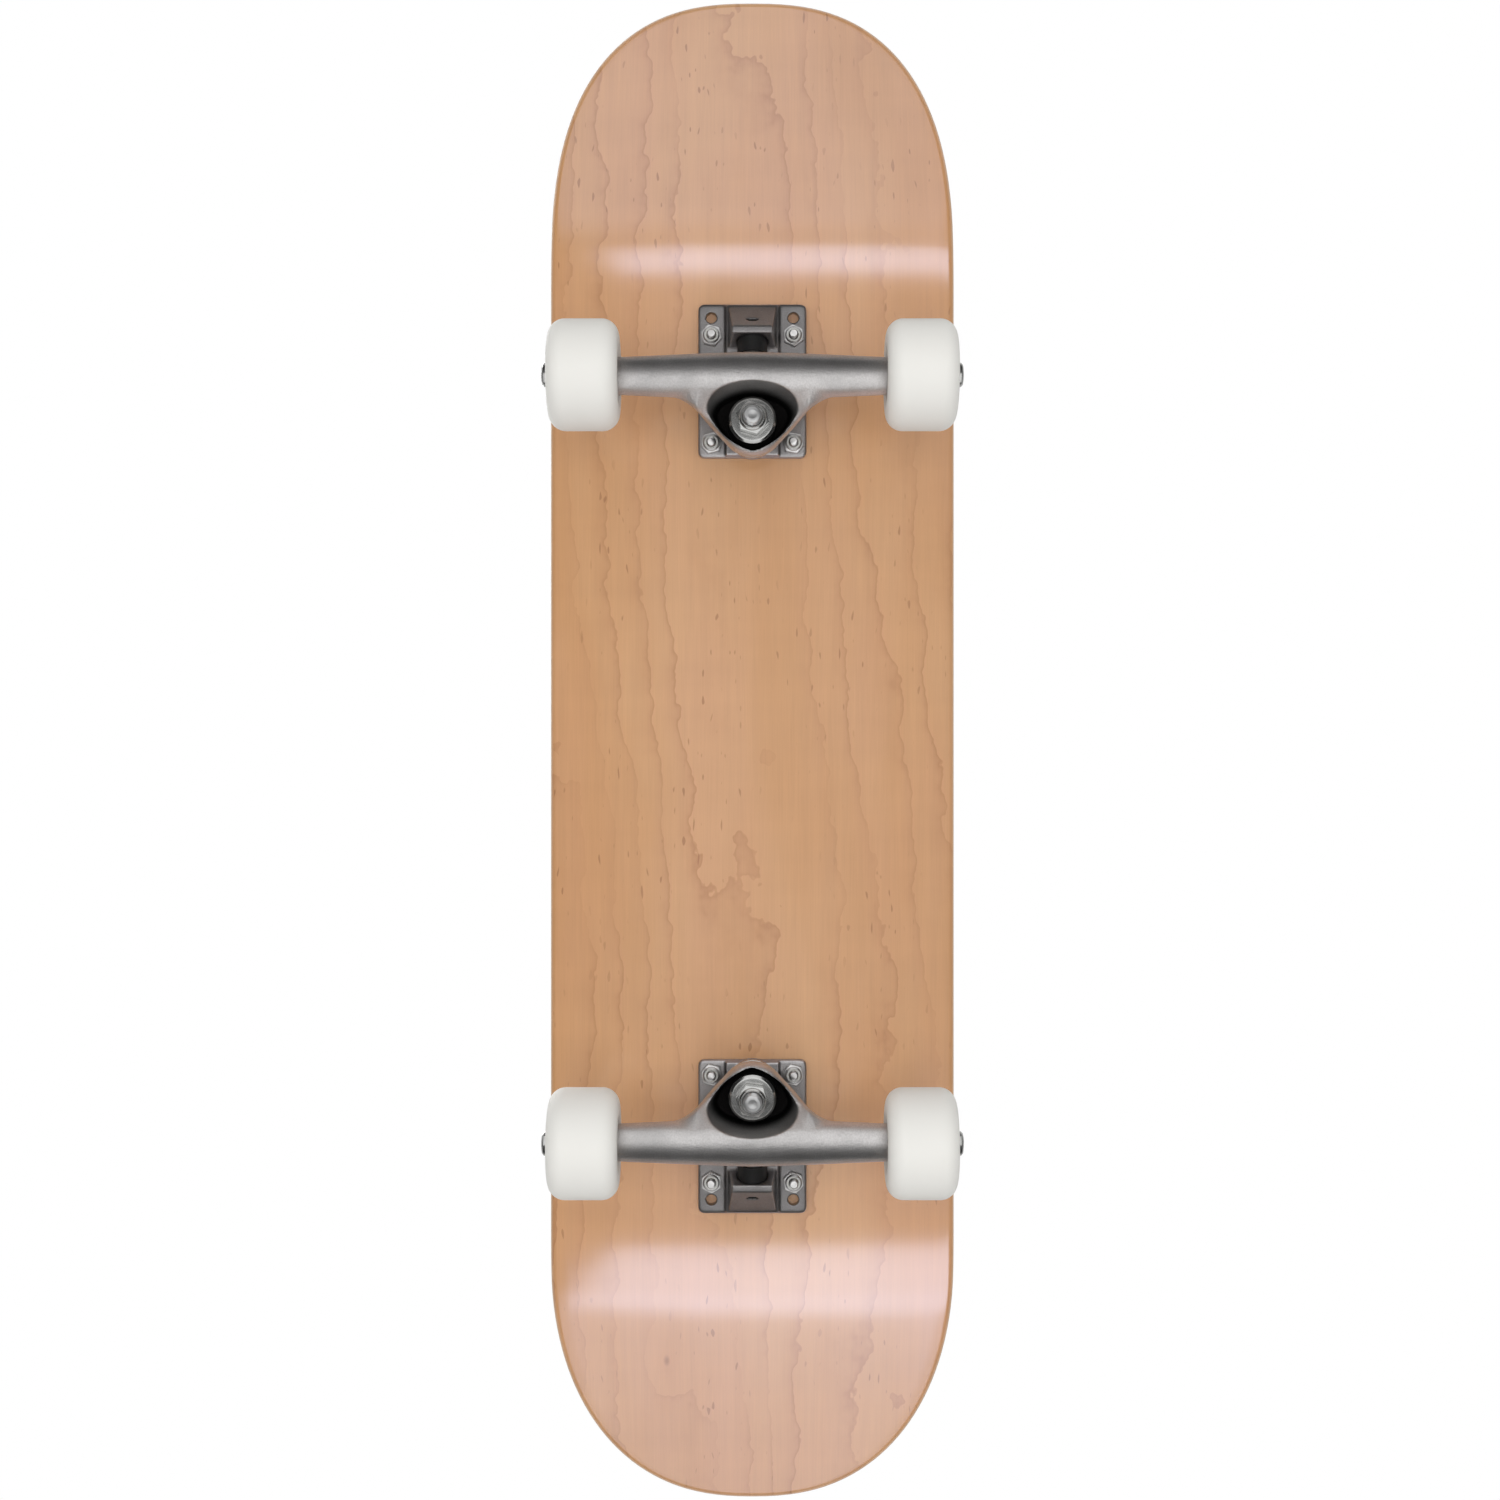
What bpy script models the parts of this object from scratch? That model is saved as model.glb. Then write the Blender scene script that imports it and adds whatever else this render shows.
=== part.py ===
"""Complete street skateboard, standing on its wheels.

Metres, +Z up. +X points to the nose, +Y to the rider's left, and z = 0 is the ground. Each truck is
modelled once in its own frame, whose origin is the centre of its mounting pattern on the deck's flat
underside: u runs outward along the board, w across it and h down from the deck to the ground.
"""
import math

import bmesh
import bpy
from mathutils import Matrix, Vector

MM = 0.001
GAP = 0.3 * MM                      # between pieces that touch

# deck
DECK_LENGTH = 793.5 * MM
DECK_WIDTH = 206.4 * MM
DECK_THICKNESS = 11.1 * MM          # seven maple plies
CONCAVE_DEPTH = 11.0 * MM           # how far the rails stand above the middle
FLAT_MARGIN = 3.5 * MM              # flat wood beside the truck's plate, before the concave starts
CONCAVE_POWER = 1.7
EDGE_ROUND = 3.2 * MM
KICK_RADIUS = 150.0 * MM
KICK_FADE = 0.55                    # share of the concave that is gone at the tips
GRIP_THICKNESS = 0.9 * MM
GRIP_INSET = 1.5 * MM

# trucks
NOSE_TRUCK_X = DECK_LENGTH / 2 - 212.05 * MM
TAIL_TRUCK_X = DECK_LENGTH / 2 - 199.65 * MM
TRUCK_HEIGHT = 52.0 * MM            # deck's underside to axle centre
PLATE_LENGTH = 76.4 * MM
PLATE_WIDTH = 54.6 * MM
PLATE_THICKNESS = 5.5 * MM
PLATE_CORNER = 3.4 * MM
PLATEAU_WIDTH = 26.4 * MM           # raised middle band of the plate
PLATEAU_HEIGHT = 8.0 * MM
BOSS_HEIGHT = 10.0 * MM             # kingpin boss above the deck
PLATEAU_DRAFT = 1.2 * MM            # how much wider the band is at its foot
ROOT_H = 4.0 * MM                   # where the raised parts start, inside the plate
EDGE_BEVEL = 1.0 * MM
BOSS_RADIUS = 11.7 * MM
HOLE_SPACING_W = 41.28 * MM         # 1 5/8 in
HOLE_U_INNER = -31.75 * MM
HOLE_U_OUTER = 22.23 * MM           # 2 1/8 in from the inner row, where the bolts go
HOLE_U_SPARE = 31.75 * MM           # 2 1/2 in from the inner row, left empty
PLATE_HOLE_RADIUS = 2.75 * MM

# each kick starts past its truck; length, along and across shape the outline's end
NOSE_KICK = dict(start=NOSE_TRUCK_X + 41.3 * MM, angle=22.0, length=140.0 * MM, along=2.5, across=2.5)
TAIL_KICK = dict(start=TAIL_TRUCK_X + 43.9 * MM, angle=20.0, length=130.0 * MM, along=2.2, across=2.35)

# pivot
PIVOT_U = 18.0 * MM                 # mouth of the pivot cup
PIVOT_H = 13.0 * MM
CUP_RADIUS = 7.5 * MM
CUP_DEPTH = 9.0 * MM
CUP_WALL = 1.5 * MM
CUP_COLLAR = 8.5 * MM               # how far the cup's collar stands out of the housing
CUP_COLLAR_WALL = 0.7 * MM
HOUSING_HEIGHT = 21.5 * MM
HOUSING_WIDTH_BASE = 25.0 * MM
HOUSING_WIDTH_TOP = 20.0 * MM
HOUSING_SETBACK = 1.1 * MM          # from the plate's outer edge
HOUSING_LIP = 2.0 * MM              # height of its outer face over the plate
HOUSING_CREST = 5.0 * MM            # width of its crest

# kingpin stack, measured along the kingpin from the deck
KINGPIN_U = -27.8 * MM
KINGPIN_LEAN = 3.0                  # degrees, outward as it leaves the deck
KINGPIN_RADIUS = 4.76 * MM
KINGPIN_END = 57.5 * MM
KINGPIN_HEX = 14.29 * MM            # across flats, head and nut
KINGPIN_HEAD_HEIGHT = 5.0 * MM
KINGPIN_HEAD_BASE = 0.6 * MM
KINGPIN_NUT_HEIGHT = 8.0 * MM
WASHER_THICKNESS = 1.6 * MM
WASHER_RIM = 2.0 * MM
LOWER_WASHER_RADIUS = 13.0 * MM
UPPER_WASHER_RADIUS = 11.85 * MM
LOWER_BUSHING_HEIGHT = 14.7 * MM
LOWER_BUSHING_RADII = (11.5 * MM, 12.6 * MM, 11.8 * MM)      # at its foot, middle and top
UPPER_BUSHING_HEIGHT = 10.7 * MM
UPPER_BUSHING_RADII = (12.2 * MM, 11.4 * MM, 10.3 * MM)
SEAT_THICKNESS = 5.0 * MM           # hanger's ring between the bushings
SEAT_HOLE_RADIUS = 8.0 * MM
SEAT_UNDERCUT_RADIUS = 14.6 * MM    # flat under the ring where the lower bushing presses

# hanger and axle
AXLE_U = -5.6 * MM
AXLE_RADIUS = 3.97 * MM             # 5/16 in
AXLE_LENGTH = 203.2 * MM            # 8 in
HANGER_WIDTH = 136.0 * MM
BARREL_END_RADIUS = 8.9 * MM
BARREL_MID_RADIUS = 11.5 * MM
RING_RADIUS = 16.0 * MM             # rounded inner end of the hanger in plan
RING_SLOPE = 48.0                   # degrees between the hanger's flank and the axle's normal
RING_EDGE_U = -42.3 * MM
RING_FLARE = 5.0 * MM               # softness of the flanks' run into the barrel
FLOOR_HALF = 19.0 * MM              # half width over which the ring keeps its full depth
FLOOR_FADE = 12.0 * MM              # width over which it then rises to the barrel
FLOOR_INSET = 14.0 * MM
RING_RIM_RADIUS = 6.3 * MM
RECESS_SIDE = 17.8 * MM             # half width of the recess at the seat
RECESS_BACK = 1.9 * MM              # wall left at the ring's tip
RIM_LIFT = 0.4 * MM                 # the ring's underside over the seat's plane
RING_RISE = 6.5 * MM                # the ring's top over its lower rounding
RECESS_CENTRE_U = -22.5 * MM
RECESS_FRONT = 10.0 * MM            # reach towards the axle at the seat
RECESS_FLARE_SIDE = 8.0 * MM        # how much wider the recess is at its mouth
RECESS_FLARE_FRONT = 3.6 * MM
ARM_HALF = 12.0 * MM                # the arm that carries the pivot pin
ARM_U = 2.0 * MM
ARM_H = 25.0 * MM
ARM_RADIUS = 6.0 * MM
PIN_PROFILE = [(7.8, -16.0), (5.3, -1.0), (5.3, 3.5), (4.0, 5.9), (1.6, 6.8)]     # mm, along the pivot axis
HANGER_STATIONS = [0, 3, 6, 9, 12, 16, 19, 22, 25, 28, 33, 40, 52]                # mm from the middle
CLEARANCE = 5.0 * MM                # how far a cutter runs past what it cuts

# wheels
WHEEL_RADIUS = 27.0 * MM
WHEEL_WIDTH = 34.0 * MM
WHEEL_TREAD = 17.6 * MM             # flat part of the tread
WHEEL_CENTRE_Y = 81.3 * MM
BEARING_RADIUS = 11.0 * MM          # 608: 22 x 8 x 7
BORE_FIT = 0.03 * MM                # between the bearing's inner ring and the axle
BEARING_BORE_RADIUS = AXLE_RADIUS + BORE_FIT
BEARING_WIDTH = 7.0 * MM
SPACER_LENGTH = 10.0 * MM           # between the two bearings
CORE_RADIUS = 8.8 * MM
LIP_RADIUS = 14.0 * MM              # mouth of the hollow in the wheel's face
RUNNING_GAP = 0.25 * MM             # between the turning bore and the axle
SPEED_WASHER_RADIUS = 7.0 * MM
SPEED_WASHER_THICKNESS = 1.0 * MM
AXLE_NUT_HEX = 12.7 * MM
AXLE_NUT_HEIGHT = 6.4 * MM

# mounting hardware: 10-32 bolts
BOLT_RADIUS = 2.4 * MM
BOLT_LENGTH = 25.4 * MM
BOLT_HEAD_RADIUS = 4.6 * MM
BOLT_HEAD_HEIGHT = 2.6 * MM
MOUNT_NUT_HEX = 9.5 * MM
MOUNT_NUT_HEIGHT = 5.8 * MM

WHEEL_SIDES = 28
ROUND_SIDES = 24
SMALL_SIDES = 12

# a flat of the faceted tread rests on the ground
AXLE_Z = WHEEL_RADIUS * math.cos(math.pi / WHEEL_SIDES)
UNDERSIDE_Z = AXLE_Z + TRUCK_HEIGHT
FLAT_HALF_WIDTH = PLATE_WIDTH / 2 + FLAT_MARGIN

COLOURS = {                         # base colour, roughness, metallic
    "maple": ((0.80, 0.56, 0.36), 0.38, 0.0),
    "grip": ((0.03, 0.03, 0.03), 0.95, 0.0),
    "cast_aluminium": ((0.42, 0.41, 0.41), 0.42, 0.9),
    "hanger_aluminium": ((0.47, 0.46, 0.46), 0.38, 0.9),
    "steel": ((0.62, 0.62, 0.62), 0.25, 1.0),
    "kingpin_steel": ((0.50, 0.50, 0.50), 0.30, 1.0),
    "urethane_black": ((0.02, 0.02, 0.02), 0.50, 0.0),
    "wheel_urethane": ((0.80, 0.79, 0.75), 0.45, 0.0),
    "bearing_steel": ((0.55, 0.55, 0.57), 0.28, 1.0),
    "bolt_steel": ((0.50, 0.50, 0.50), 0.34, 1.0),
}


# ---------------------------------------------------------------- mesh helpers

def clear_scene():
    for obj in list(bpy.data.objects):
        bpy.data.objects.remove(obj, do_unlink=True)


def material(name):
    existing = bpy.data.materials.get(name)
    if existing:
        return existing
    colour, roughness, metallic = COLOURS[name]
    made = bpy.data.materials.new(name)
    made.use_nodes = True
    shader = made.node_tree.nodes["Principled BSDF"]
    shader.inputs["Base Color"].default_value = (*colour, 1.0)
    shader.inputs["Roughness"].default_value = roughness
    shader.inputs["Metallic"].default_value = metallic
    return made


def mesh_of(bm, name, material_name, smooth_angle=32.0):
    """Turns the bmesh into a mesh with outward faces, smooth where it is round."""
    bmesh.ops.recalc_face_normals(bm, faces=bm.faces)
    mesh = bpy.data.meshes.new(name)
    bm.to_mesh(mesh)
    bm.free()
    mesh.materials.append(material(material_name))
    mesh.shade_smooth()
    mesh.set_sharp_from_angle(angle=math.radians(smooth_angle))
    return mesh


def add_object(name, mesh, parent=None, matrix=None):
    obj = bpy.data.objects.new(name, mesh)
    bpy.context.scene.collection.objects.link(obj)
    if parent:
        obj.parent = parent
    if matrix is not None:
        obj.matrix_local = matrix
    return obj


def skin_rings(bm, rings, closed_ends=True):
    """Joins vertex rings of equal length into a tube, with caps unless the last ring meets the first."""
    count = len(rings[0])
    pairs = list(zip(rings, rings[1:]))
    if not closed_ends:
        pairs.append((rings[-1], rings[0]))
    for low, high in pairs:
        for i in range(count):
            j = (i + 1) % count
            bm.faces.new((low[i], low[j], high[j], high[i]))
    if closed_ends:
        bm.faces.new(list(reversed(rings[0])))
        bm.faces.new(rings[-1])


def loft(sections, closed_ends=True):
    """Closed body through sections, each a list of points."""
    bm = bmesh.new()
    rings = [[bm.verts.new(point) for point in section] for section in sections]
    skin_rings(bm, rings, closed_ends)
    bmesh.ops.remove_doubles(bm, verts=bm.verts, dist=1e-6)
    bmesh.ops.recalc_face_normals(bm, faces=bm.faces)
    return bm


def circle(radius, sides, turn=0.5):
    steps = [2 * math.pi * (i + turn) / sides for i in range(sides)]
    return [(radius * math.cos(a), radius * math.sin(a)) for a in steps]


def turned(profile, sides, hollow=False):
    """Turns (radius, z) points about Z. A hollow profile is a closed loop around its own section."""
    return loft([[(x, y, z) for x, y in circle(radius, sides)] for radius, z in profile], not hollow)


def turned_ring(outer, inner, low, high, sides):
    return turned([(outer, low), (outer, high), (inner, high), (inner, low)], sides, hollow=True)


def rod(radius, low, high, sides):
    return turned([(radius, low), (radius, high)], sides)


def hex_prism(across_flats, low, high):
    return rod(across_flats / 2 / math.cos(math.pi / 6), low, high, 6)


def hex_nut(across_flats, bore_radius, low, high):
    """Hexagonal nut with a round bore that has one wall facet for each half side of the hexagon."""
    corner = across_flats / 2 / math.cos(math.pi / 6)
    hexagon = [Vector(p) for p in circle(corner, 6, 0.0)]
    outline = []
    for i, point in enumerate(hexagon):
        outline += [point, (point + hexagon[(i + 1) % 6]) / 2]
    bore = circle(bore_radius, 12, 0.0)
    levels = [(outline, low), (outline, high), (bore, high), (bore, low)]
    return loft([[(p[0], p[1], z) for p in points] for points, z in levels], False)


def rounded_rectangle(length, width, corner, steps=4):
    points = []
    for quarter in range(4):
        angle = quarter * math.pi / 2
        sx = 1 if quarter in (0, 3) else -1
        sy = 1 if quarter in (0, 1) else -1
        centre = (sx * (length / 2 - corner), sy * (width / 2 - corner))
        for i in range(steps + 1):
            a = angle + i * math.pi / 2 / steps
            points.append((centre[0] + corner * math.cos(a), centre[1] + corner * math.sin(a)))
    return points


def temporary(bm, name):
    mesh = bpy.data.meshes.new(name)
    bm.to_mesh(mesh)
    bm.free()
    obj = bpy.data.objects.new(name, mesh)
    bpy.context.scene.collection.objects.link(obj)
    return obj


def combine(body, steps):
    """Applies (operation, bmesh) steps to a bmesh body with exact booleans and returns a bmesh."""
    base = temporary(body, "boolean_base")
    for operation, tool_mesh in steps:
        tool = temporary(tool_mesh, "boolean_tool")
        modifier = base.modifiers.new("boolean", "BOOLEAN")
        modifier.operation = operation
        modifier.solver = "EXACT"
        modifier.object = tool
        evaluated = base.evaluated_get(bpy.context.evaluated_depsgraph_get())
        result = bpy.data.meshes.new_from_object(evaluated)
        base.modifiers.clear()
        base.data = result
        bpy.data.objects.remove(tool, do_unlink=True)
    bm = bmesh.new()
    bm.from_mesh(base.data)
    bmesh.ops.remove_doubles(bm, verts=bm.verts, dist=2e-6)
    bmesh.ops.dissolve_degenerate(bm, edges=bm.edges, dist=2e-6)
    bmesh.ops.triangulate(bm, faces=[f for f in bm.faces if len(f.verts) > 4])
    bpy.data.objects.remove(base, do_unlink=True)
    return bm


def moved(bm, matrix):
    bmesh.ops.transform(bm, matrix=matrix, verts=bm.verts)
    return bm


# ---------------------------------------------------------------- deck and grip tape

def kick_rise(distance, angle_degrees):
    """Height and slope of a kick, the given distance past where its bend starts."""
    angle = math.radians(angle_degrees)
    bend = KICK_RADIUS * math.sin(angle)
    if distance <= 0:
        return 0.0, 0.0
    if distance < bend:
        height = KICK_RADIUS - math.sqrt(KICK_RADIUS ** 2 - distance ** 2)
        return height, distance / (KICK_RADIUS - height)
    return KICK_RADIUS * (1 - math.cos(angle)) + (distance - bend) * math.tan(angle), math.tan(angle)


def underside(x, y):
    """Height of the deck's underside, and its slope along x."""
    kick = NOSE_KICK if x > 0 else TAIL_KICK
    rise, slope = kick_rise(abs(x) - kick["start"], kick["angle"])
    beyond = max(0.0, abs(x) - kick["start"]) / (DECK_LENGTH / 2 - kick["start"])
    depth = CONCAVE_DEPTH * (1 - KICK_FADE * beyond)
    across = max(0.0, abs(y) - FLAT_HALF_WIDTH) / (DECK_WIDTH / 2 - FLAT_HALF_WIDTH)
    return UNDERSIDE_Z + rise + depth * across ** CONCAVE_POWER, slope


def outline_end(kick, steps, inset):
    """(x, half width) points from the end of the straight rail to the tip, as a superellipse."""
    length = kick["length"] - inset
    half = DECK_WIDTH / 2 - inset
    start = DECK_LENGTH / 2 - kick["length"]
    points = []
    for i in range(1, steps + 1):
        angle = math.pi / 2 * i / steps
        x = start + length * math.sin(angle) ** (2 / kick["along"])
        points.append((x, half * max(0.0, math.cos(angle)) ** (2 / kick["across"]) if i < steps else 0.0))
    return points


def outline_stations(inset, steps=8):
    """Stations along the whole board, tail to nose."""
    half = DECK_WIDTH / 2 - inset
    ends = []
    for kick, truck_x in ((TAIL_KICK, TAIL_TRUCK_X), (NOSE_KICK, NOSE_TRUCK_X)):
        rail_end = DECK_LENGTH / 2 - kick["length"]
        bend = [(kick["start"] + (rail_end - kick["start"]) * i / 2, half) for i in range(3)]
        ends.append([(truck_x - PLATE_LENGTH / 2, half)] + bend + outline_end(kick, steps, inset))
    tail = [(-x, width) for x, width in reversed(ends[0])]
    return tail + ends[1]


def across_shares(inset):
    """Places across a section, as shares of its half width, with two on the edges of the flat band."""
    flat = FLAT_HALF_WIDTH / (DECK_WIDTH / 2 - inset)
    half = [flat, flat + (1 - flat) * 0.36, flat + (1 - flat) * 0.7, 1.0]
    return [-share for share in reversed(half)] + [0.0] + half


def sheet(low, high, inset, edge_round):
    """Body that follows the deck's surface between two offsets from the underside."""
    outer = outline_stations(inset)
    inner = outline_stations(inset + edge_round)
    across = across_shares(inset + edge_round)
    sections = []
    for (x_edge, half_edge), (x_face, half_face) in zip(outer, inner):
        section = []
        for offset, shares in ((low, across), (high, list(reversed(across)))):
            for share in shares:
                height, slope = underside(x_face, share * half_face)
                section.append((x_face, share * half_face, height + offset * math.hypot(1, slope)))
            if edge_round:
                side = 1 if shares[-1] > 0 else -1
                height, slope = underside(x_edge, half_edge)
                middle = height + (low + high) / 2 * math.hypot(1, slope)
                section.append((x_edge, side * half_edge, middle))
        sections.append(section)
    bm = bmesh.new()
    rings = [[bm.verts.new(point) for point in section] for section in sections]
    for low_ring, high_ring in zip(rings, rings[1:]):
        count = len(low_ring)
        for i in range(count):
            j = (i + 1) % count
            a, b, c, d = low_ring[i], low_ring[j], high_ring[j], high_ring[i]
            # both faces of the sheet are split along the same diagonal, so they never meet
            split = ((a, b, c), (a, c, d)) if i < count / 2 else ((a, b, d), (b, c, d))
            for corners in split:
                bm.faces.new(corners)
    close_tips(bm, rings)
    return bm


def close_tips(bm, rings):
    """Each end ring has no width, so its points merge into one edge through the thickness."""
    bmesh.ops.remove_doubles(bm, verts=rings[0] + rings[-1], dist=1e-6)
    bmesh.ops.dissolve_degenerate(bm, edges=bm.edges, dist=1e-6)
    bmesh.ops.recalc_face_normals(bm, faces=bm.faces)


def truck_frames():
    nose = Matrix.Translation((NOSE_TRUCK_X, 0, UNDERSIDE_Z)) @ Matrix.Rotation(math.pi, 4, "X")
    turn = Matrix.Rotation(math.pi, 4, "Z")
    tail = Matrix.Translation((-TAIL_TRUCK_X, 0, UNDERSIDE_Z)) @ turn @ Matrix.Rotation(math.pi, 4, "X")
    return {"nose": nose, "tail": tail}


def bolt_places():
    """Bolt names and places in a truck's frame."""
    rows = (("inner", HOLE_U_INNER), ("outer", HOLE_U_OUTER))
    sides = (("left", -1), ("right", 1))
    return {f"{row}_{side}": (u, sign * HOLE_SPACING_W / 2) for row, u in rows for side, sign in sides}


def through_deck(profile):
    """Cutters at the eight bolt places, turned from (radius, h) points in a truck's frame."""
    cutters = []
    for frame in truck_frames().values():
        for u, w in bolt_places().values():
            cutter = turned(profile, SMALL_SIDES)
            cutters.append(("DIFFERENCE", moved(cutter, frame @ Matrix.Translation((u, w, 0)))))
    return cutters


def build_deck():
    body = sheet(0.0, DECK_THICKNESS, 0.0, EDGE_ROUND)
    top = -DECK_THICKNESS
    sink = top + BOLT_HEAD_HEIGHT + 2 * GAP
    wide = BOLT_HEAD_RADIUS + 2 * GAP
    profile = [(PLATE_HOLE_RADIUS, MM), (PLATE_HOLE_RADIUS, sink), (wide, top + GAP), (wide, top - MM)]
    add_object("deck", mesh_of(combine(body, through_deck(profile)), "deck", "maple"))


def build_grip_tape():
    low = DECK_THICKNESS + GAP
    body = sheet(low, low + GRIP_THICKNESS, GRIP_INSET + EDGE_ROUND, 0.0)
    radius = BOLT_HEAD_RADIUS + 3 * GAP
    holes = through_deck([(radius, MM - DECK_THICKNESS), (radius, -low - GRIP_THICKNESS - MM)])
    add_object("grip_tape", mesh_of(combine(body, holes), "grip_tape", "grip"))


# ---------------------------------------------------------------- truck pieces

def kingpin_frame():
    """The kingpin's axis in the truck's frame: its own z runs from the deck to the nut."""
    return Matrix.Translation((KINGPIN_U, 0, 0)) @ Matrix.Rotation(math.radians(KINGPIN_LEAN), 4, "Y")


def stack_levels():
    """Heights along the kingpin at which each piece of the stack starts."""
    levels = {}
    z = BOSS_HEIGHT + GAP
    pieces = (("lower_washer", WASHER_THICKNESS), ("lower_bushing", LOWER_BUSHING_HEIGHT),
              ("seat", SEAT_THICKNESS), ("upper_bushing", UPPER_BUSHING_HEIGHT),
              ("upper_washer", WASHER_THICKNESS), ("kingpin_nut", KINGPIN_NUT_HEIGHT))
    for name, height in pieces:
        levels[name] = z
        z += height + GAP
    return levels


def square_to_kingpin(u, level):
    """Height h of the plane across the kingpin at the given level, at the place u."""
    lean = math.radians(KINGPIN_LEAN)
    return (level - math.sin(lean) * (u - KINGPIN_U)) / math.cos(lean)


def seat_centre():
    return kingpin_frame() @ Vector((0, 0, stack_levels()["seat"] + SEAT_THICKNESS / 2))


def pivot_frame():
    """The steering axis: its origin is the pivot cup's mouth and its z points into the cup."""
    mouth = Vector((PIVOT_U, 0, PIVOT_H))
    inward = (mouth - seat_centre()).normalized()
    return Matrix.Translation(mouth) @ Vector((0, 0, 1)).rotation_difference(inward).to_matrix().to_4x4()


def plate_body():
    outline = rounded_rectangle(PLATE_LENGTH, PLATE_WIDTH, PLATE_CORNER)
    top = rounded_rectangle(PLATE_LENGTH - 2 * EDGE_BEVEL, PLATE_WIDTH - 2 * EDGE_BEVEL,
                            PLATE_CORNER - EDGE_BEVEL)
    levels = [(outline, GAP), (outline, PLATE_THICKNESS - EDGE_BEVEL), (top, PLATE_THICKNESS)]
    return loft([[(u, w, h) for u, w in points] for points, h in levels])


def plateau():
    """Raised middle band of the plate, sunk a little into it."""
    low, high = PLATEAU_WIDTH / 2 + PLATEAU_DRAFT, PLATEAU_WIDTH / 2
    end = PLATE_LENGTH / 2 - EDGE_BEVEL
    foot = ROOT_H - MM
    section = [(-low, foot), (low, foot), (high, PLATEAU_HEIGHT), (-high, PLATEAU_HEIGHT)]
    return loft([[(u, w, h) for w, h in section] for u in (-end, end)])


def pivot_housing():
    """Block at the outer end that slopes up to the pivot cup's mouth."""
    mouth = pivot_frame()
    into = (mouth.to_3x3() @ Vector((0, 0, 1)))
    lean = -into.z / into.x                       # how far u moves outward for each step in h
    base, crest = ROOT_H, HOUSING_HEIGHT
    face_low = PIVOT_U - (PIVOT_H - base) * lean
    face_high = PIVOT_U + (crest - PIVOT_H) * lean
    end = PLATE_LENGTH / 2 - HOUSING_SETBACK
    profile = [(face_low, base), (end, base), (end, PLATE_THICKNESS + HOUSING_LIP),
               (face_high + HOUSING_CREST, crest), (face_high, crest)]
    sections = []
    for side in (-1, 1):
        section = []
        for u, h in profile:
            share = (h - base) / (crest - base)
            half = HOUSING_WIDTH_BASE / 2 + share * (HOUSING_WIDTH_TOP - HOUSING_WIDTH_BASE) / 2
            section.append((u, side * half, h))
        sections.append(section)
    return loft(sections)


def build_baseplate_mesh(name):
    boss = moved(rod(BOSS_RADIUS, ROOT_H, BOSS_HEIGHT, ROUND_SIDES), kingpin_frame())
    bore = moved(rod(KINGPIN_RADIUS + GAP, -CLEARANCE, BOSS_HEIGHT + MM, ROUND_SIDES), kingpin_frame())
    pocket_top = KINGPIN_HEAD_BASE + KINGPIN_HEAD_HEIGHT + GAP
    pocket = moved(hex_prism(KINGPIN_HEX + 2 * GAP, -CLEARANCE, pocket_top), kingpin_frame())
    cup_bore = rod(CUP_RADIUS + GAP, -CUP_COLLAR - CLEARANCE, CUP_DEPTH + GAP, ROUND_SIDES)
    cup_bore = moved(cup_bore, pivot_frame())
    steps = [("UNION", plateau()), ("UNION", boss), ("UNION", pivot_housing())]
    steps += [("DIFFERENCE", cutter) for cutter in (bore, pocket, cup_bore)]
    for u in (HOLE_U_INNER, HOLE_U_OUTER, HOLE_U_SPARE):
        for side in (-1, 1):
            hole = rod(PLATE_HOLE_RADIUS, -MM, PLATE_THICKNESS + 2 * MM, SMALL_SIDES)
            steps.append(("DIFFERENCE", moved(hole, Matrix.Translation((u, side * HOLE_SPACING_W / 2, 0)))))
    return mesh_of(combine(plate_body(), steps), name, "cast_aluminium")


def build_pivot_cup_mesh(name):
    mouth, floor = CUP_RADIUS - CUP_WALL, CUP_DEPTH - CUP_WALL
    profile = [(0.0, CUP_DEPTH), (CUP_RADIUS, CUP_DEPTH), (CUP_RADIUS, -CUP_COLLAR),
               (CUP_RADIUS - CUP_COLLAR_WALL, -CUP_COLLAR), (mouth, 0.0), (mouth, floor), (0.0, floor)]
    return mesh_of(turned_open(profile, ROUND_SIDES), name, "urethane_black")


def turned_open(profile, sides):
    """Turns a profile whose first and last points lie on the axis."""
    sections = [[(x, y, z) for x, y in circle(radius, sides)] for radius, z in profile]
    bm = bmesh.new()
    rings = [[bm.verts.new(point) for point in section] for section in sections]
    for low, high in zip(rings, rings[1:]):
        for i in range(sides):
            j = (i + 1) % sides
            bm.faces.new((low[i], low[j], high[j], high[i]))
    bmesh.ops.remove_doubles(bm, verts=rings[0] + rings[-1], dist=1e-6)
    bmesh.ops.dissolve_degenerate(bm, edges=bm.edges, dist=1e-7)
    bmesh.ops.recalc_face_normals(bm, faces=bm.faces)
    return bm


def build_kingpin_mesh(name):
    head_top = KINGPIN_HEAD_BASE + KINGPIN_HEAD_HEIGHT
    body = hex_prism(KINGPIN_HEX, KINGPIN_HEAD_BASE, head_top)
    chamfer = 0.8 * MM
    shank = turned([(KINGPIN_RADIUS, head_top - MM), (KINGPIN_RADIUS, KINGPIN_END - chamfer),
                    (KINGPIN_RADIUS - chamfer, KINGPIN_END)], ROUND_SIDES)
    return mesh_of(combine(body, [("UNION", shank)]), name, "kingpin_steel")


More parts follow.
